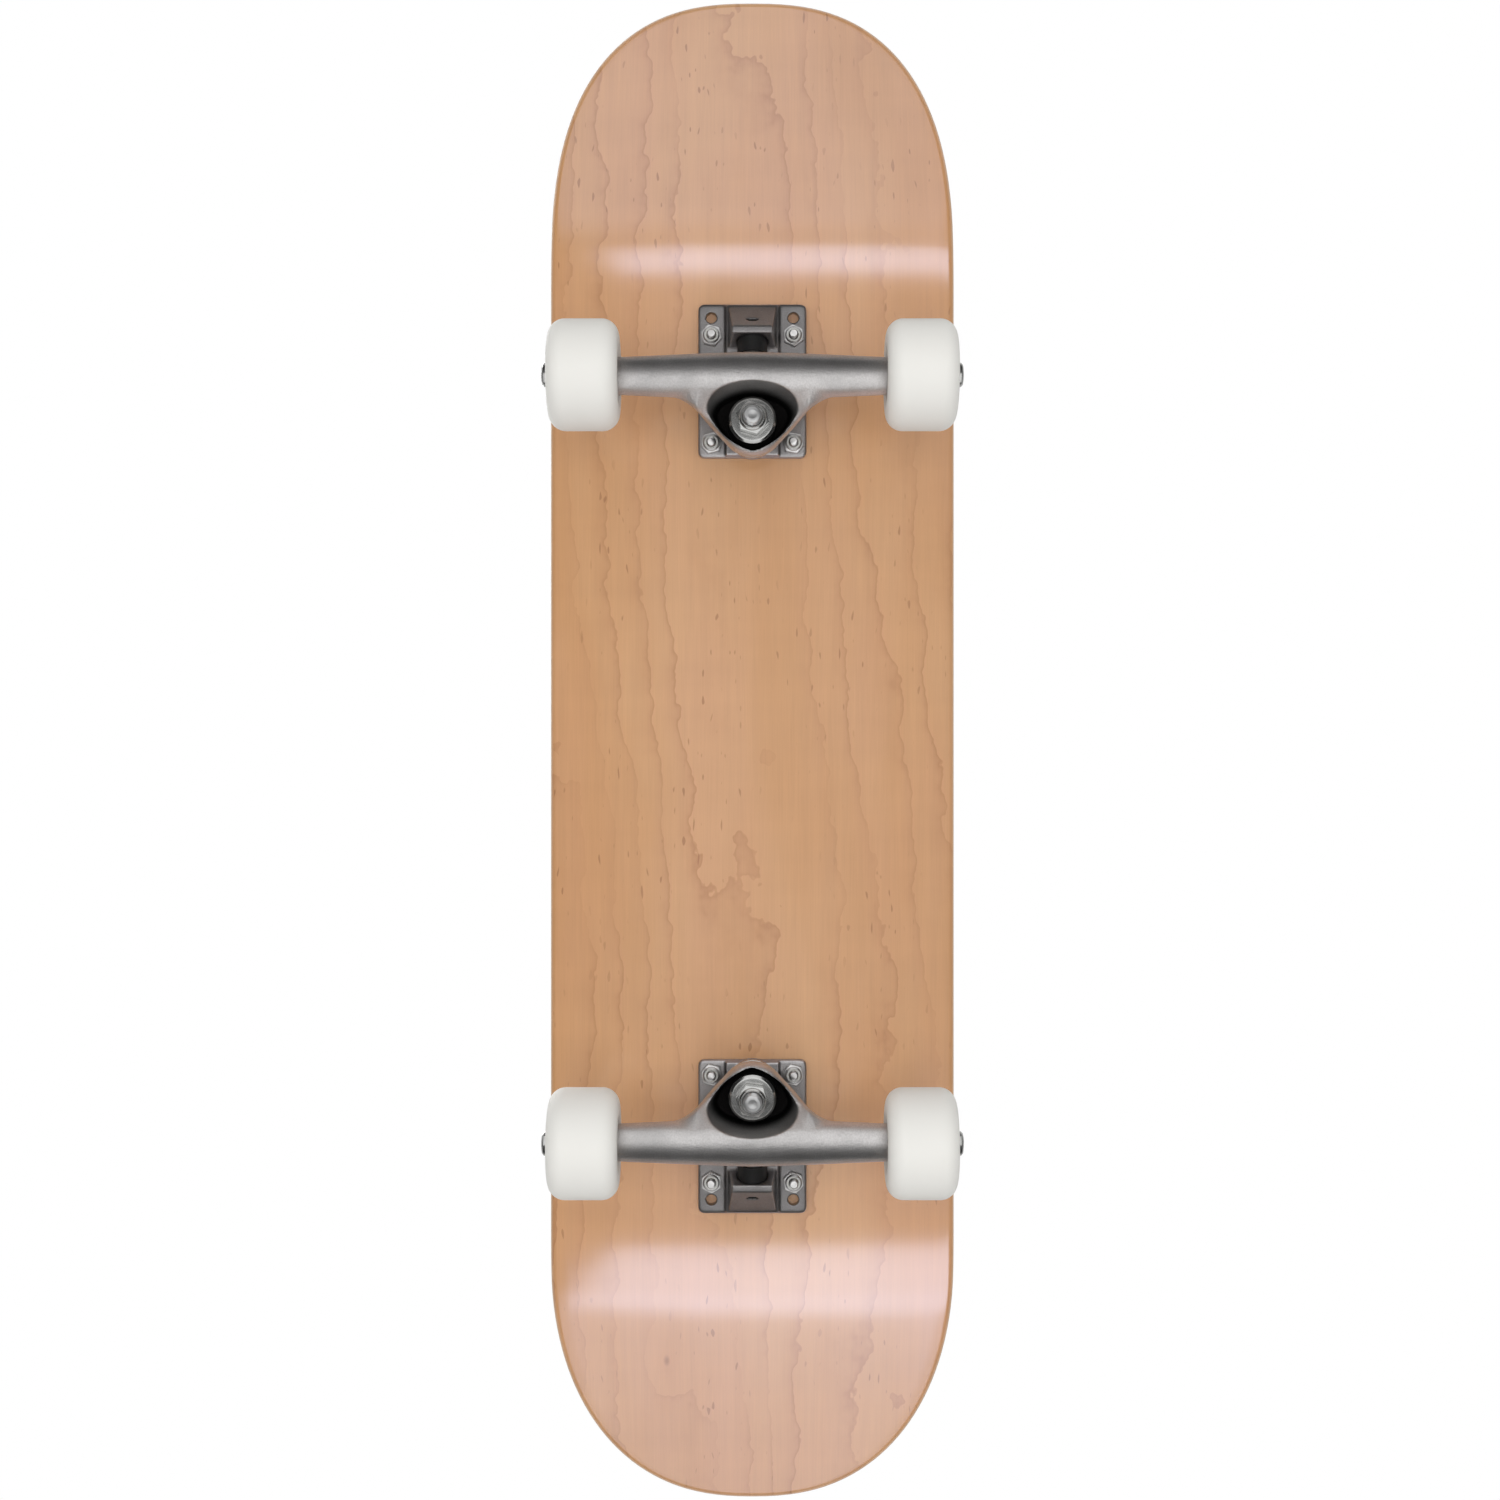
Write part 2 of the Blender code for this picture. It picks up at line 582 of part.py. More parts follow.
def build_washer_mesh(name, radius, level, rim_sign):
    """Cup washer: a disc whose rim turns towards the bushing."""
    inner = KINGPIN_RADIUS + GAP
    low, high = level, level + WASHER_THICKNESS
    back, face = (low, high) if rim_sign > 0 else (high, low)
    rim = face + rim_sign * WASHER_RIM
    bend = 1.0 * MM
    profile = [(inner, back), (radius - bend, back), (radius, back + rim_sign * bend), (radius, rim),
               (radius - bend, rim), (radius - bend, face), (inner, face)]
    return mesh_of(turned(profile, ROUND_SIDES, hollow=True), name, "steel")


def build_bushing_mesh(name, level, height, radii):
    """Rubber ring with a radius for its foot, its middle and its top."""
    inner = KINGPIN_RADIUS + GAP
    side = [(radius, level + height * i / 2) for i, radius in enumerate(radii)]
    profile = [(inner, level)] + side + [(inner, level + height)]
    return mesh_of(turned(profile, ROUND_SIDES, hollow=True), name, "urethane_black")


def ring_edge(w):
    """The hanger's inner outline in plan: a round tip, straight flanks and a soft flare into the barrel."""
    barrel_edge = AXLE_U - BARREL_END_RADIUS
    centre = RING_EDGE_U + RING_RADIUS
    slope = math.radians(RING_SLOPE)
    tangent = RING_RADIUS * math.sin(slope)
    w = abs(w)
    if w < tangent:
        edge = centre - math.sqrt(RING_RADIUS ** 2 - w ** 2)
    else:
        edge = centre - RING_RADIUS * math.cos(slope) + (w - tangent) * math.tan(slope)
    return barrel_edge - RING_FLARE * math.log(1 + math.exp((barrel_edge - edge) / RING_FLARE))


def hull_section(discs, sides):
    """Support points of the hull around discs (u, h, radius), one for each direction."""
    points = []
    for i in range(sides):
        angle = 2 * math.pi * (i + 0.5) / sides
        du, dh = math.cos(angle), math.sin(angle)
        u, h, radius = max(discs, key=lambda disc: disc[0] * du + disc[1] * dh + disc[2])
        points.append((u + radius * du, h + radius * dh))
    return points


def hanger_section(w):
    """Discs whose hull is the hanger's section: barrel, ring rim, ring floor and pivot arm."""
    out = min(1.0, abs(w) / (HANGER_WIDTH / 2))
    barrel = BARREL_MID_RADIUS + (BARREL_END_RADIUS - BARREL_MID_RADIUS) * out ** 1.2
    edge = ring_edge(w)
    reach = (AXLE_U - BARREL_END_RADIUS - edge) / (AXLE_U - BARREL_END_RADIUS - RING_EDGE_U)
    fade = min(1.0, max(0.0, (abs(w) - FLOOR_HALF) / FLOOR_FADE))
    depth = max(min(1.0, max(0.0, reach)), (math.cos(math.pi * fade) + 1) / 2)
    rim = RING_RIM_RADIUS
    rim_h = TRUCK_HEIGHT + (stack_levels()["seat"] + rim + RIM_LIFT - TRUCK_HEIGHT) * depth
    arm = math.cos(math.pi / 2 * min(1.0, abs(w) / ARM_HALF)) ** 2
    arm_u = AXLE_U + (ARM_U - AXLE_U) * arm
    arm_h = TRUCK_HEIGHT + (ARM_H - TRUCK_HEIGHT) * arm
    arm_radius = barrel + (ARM_RADIUS - barrel) * arm
    return [(AXLE_U, TRUCK_HEIGHT, barrel), (edge + rim, rim_h, rim), (edge + rim, rim_h + RING_RISE * depth, rim),
            (AXLE_U - FLOOR_INSET * depth, rim_h, rim),
            (arm_u, arm_h, min(arm_radius, barrel))]


def recess_outline(side, front, back, steps=8):
    """Outline like a guitar pick: an ellipse towards the axle and a pointed end towards the ring's tip."""
    points = []
    for i in range(4 * steps):
        angle = 2 * math.pi * i / (4 * steps)
        c, s = math.cos(angle), math.sin(angle)
        power = 1.0 if c >= 0 else 4.0 / 3.0
        reach = front if c >= 0 else back
        points.append((RECESS_CENTRE_U + reach * math.copysign(abs(c) ** power, c),
                       side * math.copysign(abs(s) ** power, s)))
    return points


def recess_cutter():
    seat_top = stack_levels()["seat"] + SEAT_THICKNESS
    back = RECESS_CENTRE_U - RING_EDGE_U - RECESS_BACK
    bottom = recess_outline(RECESS_SIDE, RECESS_FRONT, back)
    top = recess_outline(RECESS_SIDE + RECESS_FLARE_SIDE, RECESS_FRONT + RECESS_FLARE_FRONT, back)
    mouth = TRUCK_HEIGHT + BARREL_MID_RADIUS + RECESS_FLARE_FRONT
    return loft([[(u, w, square_to_kingpin(u, seat_top)) for u, w in bottom], [(u, w, mouth) for u, w in top]])


def build_hanger_mesh(name):
    half = HANGER_WIDTH / 2
    inner = [place * MM for place in HANGER_STATIONS[1:]]
    stations = [-half] + [-w for w in reversed(inner)] + [0.0] + inner + [half]
    sections = [[(u, w, h) for u, h in hull_section(hanger_section(w), 20)] for w in stations]
    seat = stack_levels()["seat"]
    seat_hole = rod(SEAT_HOLE_RADIUS, seat - CLEARANCE, seat + SEAT_THICKNESS + CLEARANCE, ROUND_SIDES)
    under = rod(SEAT_UNDERCUT_RADIUS, 0.0, seat, ROUND_SIDES)
    pin = turned([(radius * MM, z * MM) for radius, z in PIN_PROFILE], ROUND_SIDES)
    bore = rod(AXLE_RADIUS + GAP, -half - CLEARANCE, half + CLEARANCE, ROUND_SIDES)
    along = Matrix.Translation((AXLE_U, 0, TRUCK_HEIGHT)) @ Matrix.Rotation(math.pi / 2, 4, "X")
    steps = [("UNION", moved(pin, pivot_frame())), ("DIFFERENCE", recess_cutter()),
             ("DIFFERENCE", moved(under, kingpin_frame())), ("DIFFERENCE", moved(seat_hole, kingpin_frame())),
             ("DIFFERENCE", moved(bore, along))]
    return mesh_of(combine(loft(sections), steps), name, "hanger_aluminium", 28.0)


def build_axle_mesh(name):
    half, chamfer = AXLE_LENGTH / 2, 0.6 * MM
    profile = [(AXLE_RADIUS - chamfer, -half), (AXLE_RADIUS, chamfer - half), (AXLE_RADIUS, half - chamfer),
               (AXLE_RADIUS - chamfer, half)]
    return mesh_of(turned(profile, ROUND_SIDES), name, "kingpin_steel")


# ---------------------------------------------------------------- wheel pieces, z along the axle outward

def bearing_starts():
    """Where the inner and the outer bearing start, measured from the wheel's middle."""
    return {"inner": -SPACER_LENGTH / 2 - BEARING_WIDTH, "outer": SPACER_LENGTH / 2}


def build_wheel_mesh(name):
    half, tread = WHEEL_WIDTH / 2, WHEEL_TREAD / 2
    corner = half - tread
    arc = [(WHEEL_RADIUS - corner + corner * math.cos(a), tread + corner * math.sin(a))
           for a in (math.pi / 2 * i / 3 for i in range(4))]
    seat = BEARING_RADIUS + GAP
    shoulder = SPACER_LENGTH / 2 - GAP
    face = SPACER_LENGTH / 2 + BEARING_WIDTH
    outer_half = arc + [(LIP_RADIUS, half), (seat, face), (seat, shoulder), (CORE_RADIUS, shoulder)]
    inner_half = [(radius, -z) for radius, z in reversed(outer_half)]
    return mesh_of(turned(outer_half + inner_half, WHEEL_SIDES, hollow=True), name, "wheel_urethane")


def build_bearing_mesh(name):
    bore = (BEARING_BORE_RADIUS + RUNNING_GAP) / math.cos(math.pi / ROUND_SIDES)
    return mesh_of(turned_ring(BEARING_RADIUS, bore, 0.0, BEARING_WIDTH, ROUND_SIDES), name, "bearing_steel")


def build_speed_washer_mesh(name):
    ring = turned_ring(SPEED_WASHER_RADIUS, AXLE_RADIUS + GAP, 0.0, SPEED_WASHER_THICKNESS, ROUND_SIDES)
    return mesh_of(ring, name, "steel")


def build_axle_nut_mesh(name):
    return mesh_of(hex_nut(AXLE_NUT_HEX, AXLE_RADIUS + GAP, 0.0, AXLE_NUT_HEIGHT), name, "steel")


# ---------------------------------------------------------------- mounting hardware

def build_bolt_mesh(name):
    """The head's flat is at z = 0 and the shank runs along +z towards the ground."""
    profile = [(BOLT_HEAD_RADIUS, 0.0), (BOLT_HEAD_RADIUS, 0.3 * MM), (BOLT_RADIUS, BOLT_HEAD_HEIGHT),
               (BOLT_RADIUS, BOLT_LENGTH)]
    return mesh_of(turned(profile, SMALL_SIDES), name, "bolt_steel")


def build_mount_nut_mesh(name):
    return mesh_of(hex_nut(MOUNT_NUT_HEX, BOLT_RADIUS + GAP, 0.0, MOUNT_NUT_HEIGHT), name, "bolt_steel")


# ---------------------------------------------------------------- assembly

def empty(name, matrix, parent=None):
    obj = bpy.data.objects.new(name, None)
    bpy.context.scene.collection.objects.link(obj)
    obj.parent = parent
    obj.matrix_local = matrix
    return obj


def truck_meshes():
    levels = stack_levels()
    nut_low = levels["kingpin_nut"]
    nut = hex_nut(KINGPIN_HEX, KINGPIN_RADIUS + GAP, nut_low, nut_low + KINGPIN_NUT_HEIGHT)
    return {
        "baseplate": build_baseplate_mesh("baseplate"),
        "pivot_cup": build_pivot_cup_mesh("pivot_cup"),
        "kingpin": build_kingpin_mesh("kingpin"),
        "lower_washer": build_washer_mesh("lower_washer", LOWER_WASHER_RADIUS, levels["lower_washer"], 1),
        "lower_bushing": build_bushing_mesh("lower_bushing", levels["lower_bushing"], LOWER_BUSHING_HEIGHT,
                                            LOWER_BUSHING_RADII),
        "upper_bushing": build_bushing_mesh("upper_bushing", levels["upper_bushing"], UPPER_BUSHING_HEIGHT,
                                            UPPER_BUSHING_RADII),
        "upper_washer": build_washer_mesh("upper_washer", UPPER_WASHER_RADIUS, levels["upper_washer"], -1),
        "kingpin_nut": mesh_of(nut, "kingpin_nut", "steel"),
        "hanger": build_hanger_mesh("hanger"),
        "axle": build_axle_mesh("axle"),
        "wheel": build_wheel_mesh("wheel"),
        "bearing": build_bearing_mesh("bearing"),
        "speed_washer": build_speed_washer_mesh("speed_washer"),
        "axle_nut": build_axle_nut_mesh("axle_nut"),
        "mount_bolt": build_bolt_mesh("mount_bolt"),
        "mount_nut": build_mount_nut_mesh("mount_nut"),
    }


def place_wheel_set(end, side, meshes, axle, sign):
    """Wheel, bearings, speed washer and nut on one end of the axle, whose z points outward."""
    outward = Matrix.Rotation(0.0 if sign > 0 else math.pi, 4, "X")
    hub = empty(f"{end}_{side}_hub", outward @ Matrix.Translation((0, 0, WHEEL_CENTRE_Y)), axle)
    place = f"{end}_{side}"
    add_object(f"{place}_wheel", meshes["wheel"], hub)
    for which, start in bearing_starts().items():
        add_object(f"{place}_{which}_bearing", meshes["bearing"], hub, Matrix.Translation((0, 0, start)))
    washer = SPACER_LENGTH / 2 + BEARING_WIDTH + GAP
    nut = washer + SPEED_WASHER_THICKNESS + GAP
    add_object(f"{place}_speed_washer", meshes["speed_washer"], hub, Matrix.Translation((0, 0, washer)))
    add_object(f"{place}_axle_nut", meshes["axle_nut"], hub, Matrix.Translation((0, 0, nut)))


def place_truck(end, frame, meshes):
    truck = empty(f"{end}_truck", frame)
    add_object(f"{end}_baseplate", meshes["baseplate"], truck)
    pivot = empty(f"{end}_steering_axis", pivot_frame(), truck)
    add_object(f"{end}_pivot_cup", meshes["pivot_cup"], pivot)
    stack = empty(f"{end}_kingpin_axis", kingpin_frame(), truck)
    for piece in ("kingpin", "lower_washer", "lower_bushing", "upper_bushing", "upper_washer", "kingpin_nut"):
        add_object(f"{end}_{piece}", meshes[piece], stack)
    add_object(f"{end}_hanger", meshes["hanger"], pivot, pivot_frame().inverted())
    # the axle's z points to +w, which is the board's right for the nose truck
    axle_frame = Matrix.Translation((AXLE_U, 0, TRUCK_HEIGHT)) @ Matrix.Rotation(-math.pi / 2, 4, "X")
    axle = empty(f"{end}_axle_line", axle_frame, truck)
    add_object(f"{end}_axle", meshes["axle"], axle)
    right_is_plus = 1 if end == "nose" else -1
    place_wheel_set(end, "right", meshes, axle, right_is_plus)
    place_wheel_set(end, "left", meshes, axle, -right_is_plus)
    head = -DECK_THICKNESS + GAP
    nut = PLATE_THICKNESS + GAP
    for place, (u, w) in bolt_places().items():
        spot = Matrix.Translation((u, w * right_is_plus, 0))
        add_object(f"{end}_mount_bolt_{place}", meshes["mount_bolt"], truck,
                   spot @ Matrix.Translation((0, 0, head)))
        add_object(f"{end}_mount_nut_{place}", meshes["mount_nut"], truck,
                   spot @ Matrix.Translation((0, 0, nut)))


def main():
    clear_scene()
    build_deck()
    build_grip_tape()
    meshes = truck_meshes()
    for end, frame in truck_frames().items():
        place_truck(end, frame, meshes)


main()
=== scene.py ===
"""Street skateboard: the finished look of every piece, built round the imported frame.

Metres, +Z up, +X to the nose and +Y to the rider's left. Each truck is shaped once in its own frame,
whose origin is the middle of its mounting pattern on the deck's flat underside: u runs outward along
the board, w across it and h down from the deck to the ground. Wheels are shaped with z along the axle.
"""

import math

import bmesh
import bpy
from bpy.props import FloatProperty, FloatVectorProperty, IntProperty, PointerProperty
from mathutils import Matrix, Vector


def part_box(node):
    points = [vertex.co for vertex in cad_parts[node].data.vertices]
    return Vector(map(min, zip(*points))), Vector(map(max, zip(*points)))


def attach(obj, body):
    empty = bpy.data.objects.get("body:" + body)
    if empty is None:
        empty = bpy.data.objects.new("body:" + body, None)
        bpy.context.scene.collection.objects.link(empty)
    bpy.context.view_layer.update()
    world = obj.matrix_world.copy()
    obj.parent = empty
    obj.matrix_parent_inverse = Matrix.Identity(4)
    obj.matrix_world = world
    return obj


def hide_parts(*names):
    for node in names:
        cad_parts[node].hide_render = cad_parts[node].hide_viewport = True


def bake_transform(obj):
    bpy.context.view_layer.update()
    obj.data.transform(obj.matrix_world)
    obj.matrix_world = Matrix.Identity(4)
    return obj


bl_info = {
    "name": "Street Skateboard",
    "version": (1, 0, 0),
    "blender": (4, 5, 0),
    "location": "View3D > Sidebar > Skateboard",
    "description": "Builds the finished pieces of a complete street skateboard round its packed frame",
    "category": "Object",
}

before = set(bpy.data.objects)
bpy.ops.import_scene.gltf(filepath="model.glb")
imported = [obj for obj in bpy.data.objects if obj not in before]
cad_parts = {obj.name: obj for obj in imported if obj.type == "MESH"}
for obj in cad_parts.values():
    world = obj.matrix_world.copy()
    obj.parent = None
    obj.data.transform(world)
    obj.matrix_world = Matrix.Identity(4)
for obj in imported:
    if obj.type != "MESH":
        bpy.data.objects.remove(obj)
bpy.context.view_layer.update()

MM = 0.001
GAP = 0.3 * MM
ENDS = ("nose", "tail")
SIDES = ("left", "right")
FLIP = Matrix.Rotation(math.pi, 4, "X")


# ---------------------------------------------------------------- sizes read from the frame

def extent(node):
    """Middle and size of a frame node's box."""
    low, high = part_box(node)
    return (low + high) / 2, high - low


DECK_LOW, DECK_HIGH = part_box("deck")
DECK_LENGTH = DECK_HIGH.x - DECK_LOW.x
DECK_WIDTH = DECK_HIGH.y - DECK_LOW.y
UNDERSIDE_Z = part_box("nose_baseplate")[1].z + GAP
WHEEL_MIDDLE, WHEEL_SIZE = extent("nose_left_wheel")
WHEEL_RADIUS = WHEEL_SIZE.z / 2
WHEEL_WIDTH = WHEEL_SIZE.y
AXLE_H = UNDERSIDE_Z - WHEEL_MIDDLE.z
AXLE_LENGTH = extent("nose_axle")[1].y
AXLE_RADIUS = extent("nose_axle")[1].z / 2
HANGER_WIDTH = extent("nose_hanger")[1].y
PLATE_LENGTH, PLATE_WIDTH = extent("nose_baseplate")[1].xy
BEARING_WIDTH = extent("nose_left_inner_bearing")[1].y
BEARING_RADIUS = extent("nose_left_inner_bearing")[1].z / 2
SPACER_LENGTH = 2 * abs(extent("nose_left_outer_bearing")[0].y - WHEEL_MIDDLE.y) - BEARING_WIDTH

# the board's curves
THICKNESS = 11.1 * MM
PLIES = 7
GRIP_THICKNESS, GRIP_INSET = 0.9 * MM, 4.7 * MM
CONCAVE_DEPTH = 11.0 * MM
CONCAVE_POWER = 1.7
CONCAVE_FADE = 0.55
FLAT_HALF = PLATE_WIDTH / 2 + 3.5 * MM
KICK_RADIUS = 150.0 * MM
KICKS = {
    "nose": dict(start=226.0 * MM, angle=22.0, length=140.0 * MM, along=2.5, across=2.5),
    "tail": dict(start=241.0 * MM, angle=20.0, length=130.0 * MM, along=2.2, across=2.35),
}

# the truck's own sizes
PLATE_THICKNESS = 5.5 * MM
PLATE_CORNER = 3.4 * MM
BAND_WIDTH = 26.4 * MM
BAND_HEIGHT = 8.0 * MM
BOSS_HEIGHT = 10.0 * MM
HOLE_W = 41.28 * MM / 2
HOLE_U = {"inner": -31.75 * MM, "outer": 22.23 * MM, "spare": 31.75 * MM}
HOLE_RADIUS = 2.75 * MM
PIVOT_U, PIVOT_H = 18.0 * MM, 13.0 * MM
CUP_RADIUS, CUP_DEPTH, CUP_WALL = 7.5 * MM, 9.0 * MM, 1.5 * MM
CUP_COLLAR, CUP_COLLAR_WALL = 8.5 * MM, 0.7 * MM
CREST_HEIGHT = 21.5 * MM
CREST_HALF, FOOT_HALF = 10.0 * MM, 12.5 * MM
KINGPIN_U, KINGPIN_LEAN = -27.8 * MM, math.radians(3.0)
KINGPIN_RADIUS, KINGPIN_END = 4.76 * MM, 57.5 * MM
KINGPIN_HEX, HEAD_LOW, HEAD_HIGH = 14.29 * MM, 0.6 * MM, 5.6 * MM
NUT_HEIGHT = 8.0 * MM
WASHER, WASHER_RIM = 1.6 * MM, 2.0 * MM
LEVELS = {"lower_washer": 10.3 * MM, "lower_bushing": 12.2 * MM, "seat": 27.2 * MM,
          "upper_bushing": 32.5 * MM, "upper_washer": 43.5 * MM, "nut": 45.4 * MM}
LOWER_BUSHING, UPPER_BUSHING = 14.7 * MM, 10.7 * MM
LOWER_BUSHING_RADII = (11.5 * MM, 12.6 * MM, 11.8 * MM)
UPPER_BUSHING_RADII = (12.2 * MM, 11.4 * MM, 10.3 * MM)
SEAT, SEAT_HOLE, SEAT_UNDERCUT = 5.0 * MM, 8.0 * MM, 14.6 * MM
AXLE_U = -5.6 * MM
BARREL_END, BARREL_MID = 8.9 * MM, 11.5 * MM
RING_RADIUS, RING_SLOPE, RING_EDGE_U = 16.0 * MM, math.radians(48.0), -42.3 * MM
RING_FLARE = 5.0 * MM
FLOOR_HALF, FLOOR_FADE, FLOOR_INSET = 19.0 * MM, 12.0 * MM, 14.0 * MM
RIM, RIM_LIFT, RING_RISE = 6.3 * MM, 0.4 * MM, 6.5 * MM
ARM_HALF, ARM_U, ARM_H, ARM_RADIUS = 12.0 * MM, 2.0 * MM, 25.0 * MM, 6.0 * MM
RECESS_SIDE, RECESS_BACK = 17.8 * MM, 1.9 * MM
RECESS_CENTRE_U, RECESS_FRONT = -22.5 * MM, 10.0 * MM
RECESS_FLARE_SIDE, RECESS_FLARE_FRONT = 8.0 * MM, 3.6 * MM
RECESS_REACH_BACK = RECESS_CENTRE_U - RING_EDGE_U - RECESS_BACK
RECESS_MOUTH_H = AXLE_H + BARREL_MID + RECESS_FLARE_FRONT
PIN_RADIUS = 5.3 * MM
BOLT_RADIUS, BOLT_LENGTH, BOLT_HEAD = 2.4 * MM, 25.4 * MM, 4.6 * MM
BOLT_SINK = 2.6 * MM
MOUNT_HEX, MOUNT_NUT_HEIGHT = 9.5 * MM, 5.8 * MM
AXLE_HEX, AXLE_NUT_HEIGHT = 12.7 * MM, 6.4 * MM
TREAD_WIDTH = 17.6 * MM
BEARING_BORE, RACE_WALL = 4.12 * MM, 1.7 * MM
SPACER_RADIUS, SPACER_BORE = 5.6 * MM, 4.15 * MM
SPEED_RING_RADIUS, SPEED_RING = 7.0 * MM, 1.0 * MM
THREAD_PITCH, BOLT_PITCH = 1.06 * MM, 0.8 * MM

# how far round each nut was left, in degrees
KINGPIN_NUT_TURNS = {"nose": 14.0, "tail": 22.0}
AXLE_NUT_TURNS = {("nose", "left"): 8, ("nose", "right"): 25, ("tail", "left"): 41, ("tail", "right"): 14}

# the camera under the board and the lights round it
CAMERA_SHIFT, CAMERA_DISTANCE, CAMERA_SENSOR = (-1.75 * MM, -1.2 * MM), 1.1, 36.0
FILL_DISTANCE, FILL_SIZE = 3.0, (2.6, 2.6)
GLOSS_DISTANCE, GLOSS_COLOUR = 2.4, (0.80, 0.92, 1.25)
FILL_OUT, FILL_DOWN = 0.87, 0.5
TRUCK_LIGHT_DISTANCE, TRUCK_LIGHT_IN, TRUCK_LIGHT_DOWN = 0.7, 0.62, 0.79


# ---------------------------------------------------------------- mesh making

def ring_skin(bm, rings, around=True, caps=True):
    """Faces between vertex rings of equal length; around closes each ring, caps closes the two ends."""
    count = len(rings[0])
    for low, high in zip(rings, rings[1:]):
        for i in range(count if around else count - 1):
            j = (i + 1) % count
            bm.faces.new((low[i], low[j], high[j], high[i]))
    if caps:
        bm.faces.new(list(reversed(rings[0])))
        bm.faces.new(rings[-1])


def loft(sections, caps=True, loop=False):
    """Body through sections of points; loop joins the last section back to the first."""
    bm = bmesh.new()
    rings = [[bm.verts.new(point) for point in section] for section in sections]
    if loop:
        rings.append(rings[0])
    ring_skin(bm, rings, caps=caps and not loop)
    bmesh.ops.remove_doubles(bm, verts=bm.verts, dist=1e-6)
    bmesh.ops.dissolve_degenerate(bm, edges=bm.edges, dist=1e-7)
    bmesh.ops.recalc_face_normals(bm, faces=bm.faces)
    return bm


def circle(radius, sides, turn=0.0):
    return [(radius * math.cos(2 * math.pi * (i + turn) / sides),
             radius * math.sin(2 * math.pi * (i + turn) / sides)) for i in range(sides)]


def eased(points, radius, steps=4, loop=True):
    """Rounds the corners of a flat outline; radius is one number or one for each point."""
    count = len(points)
    result = []
    for i, point in enumerate(points):
        r = radius[i] if isinstance(radius, (list, tuple)) else radius
        here = Vector(point)
        if r <= 0 or (not loop and i in (0, count - 1)):
            result.append(tuple(here))
            continue
        before, after = Vector(points[i - 1]) - here, Vector(points[(i + 1) % count]) - here
        turn = before.angle(after, math.pi)
        if turn > math.pi - 0.05:
            result.append(tuple(here))
            continue
        cut = min(r / math.tan(turn / 2), before.length * 0.48, after.length * 0.48)
        start, end = here + before.normalized() * cut, here + after.normalized() * cut
        for k in range(steps + 1):
            t = k / steps
            result.append(tuple(start * (1 - t) ** 2 + here * 2 * t * (1 - t) + end * t ** 2))
    return result


def turned(profile, sides, loop=False, turn=0.0):
    """Turns (radius, z) points about z. A loop is a closed section; otherwise the ends are closed."""
    sections = [[(x, y, z) for x, y in circle(max(radius, 0.0), sides, turn)] for radius, z in profile]
    return loft(sections, caps=profile[0][0] > 1e-7, loop=loop)


def turned_ring(outer, inner, low, high, sides, ease):
    return turned(eased([(outer, low), (outer, high), (inner, high), (inner, low)], ease, 3), sides, True)


def rod(radius, low, high, sides=48):
    return turned([(radius, low), (radius, high)], sides)


def prism(outline, low, high):
    return loft([[(x, y, z) for x, y in outline] for z in (low, high)])


def moved(bm, matrix):
    bmesh.ops.transform(bm, matrix=matrix, verts=bm.verts)
    return bm


def mesh_of(bm, name):
    mesh = bpy.data.meshes.new(name)
    bm.to_mesh(mesh)
    bm.free()
    return mesh


def merged(*bodies):
    """Several bmeshes as one, each kept as its own closed shell."""
    whole = bmesh.new()
    for body in bodies:
        mesh = mesh_of(body, "part")
        whole.from_mesh(mesh)
        bpy.data.meshes.remove(mesh)
    return whole


def added(name, data):
    """A new object in the scene that shows the data."""
    obj = bpy.data.objects.new(name, data)
    bpy.context.scene.collection.objects.link(obj)
    return obj


def helper(bm, name):
    return added(name, mesh_of(bm, name))


def plain(obj):
    """The object's mesh with its modifiers carried out, as a bmesh. The object is removed."""
    evaluated = obj.evaluated_get(bpy.context.evaluated_depsgraph_get())
    mesh = bpy.data.meshes.new_from_object(evaluated)
    bpy.data.objects.remove(obj, do_unlink=True)
    bm = bmesh.new()
    bm.from_mesh(mesh)
    bpy.data.meshes.remove(mesh)
    return bm


def carved(body, steps):
    """Carries out (operation, tool) booleans on a bmesh body."""
    for operation, tool in steps:
        base, cutter = helper(body, "carved"), helper(tool, "tool")
        modifier = base.modifiers.new("carve", "BOOLEAN")
        modifier.operation, modifier.solver, modifier.object = operation, "EXACT", cutter
        body = plain(base)
        bpy.data.objects.remove(cutter, do_unlink=True)
        bmesh.ops.remove_doubles(body, verts=body.verts, dist=1e-6)
    return body


def cast(body, grain, softness):
    """A body as it leaves the mould: its corners run together over a small radius."""
    obj = helper(body, "cast")
    melt = obj.modifiers.new("melt", "REMESH")
    melt.mode, melt.voxel_size = "VOXEL", grain
    flow = obj.modifiers.new("flow", "SMOOTH")
    flow.factor, flow.iterations = 0.5, softness
    return plain(obj)


def smoothed(mesh, angle):
    """Smooth except across edges sharper than the angle."""
    mesh.shade_smooth()
    mesh.set_sharp_from_angle(angle=math.radians(angle))
    return mesh


def finished(bm, name, angle=30.0):
    return smoothed(mesh_of(bm, name), angle)


def light_group(name):
    """Set of pieces that a light can be kept to. It holds no place in the scene itself."""
    return bpy.data.collections.get(name) or bpy.data.collections.new(name)


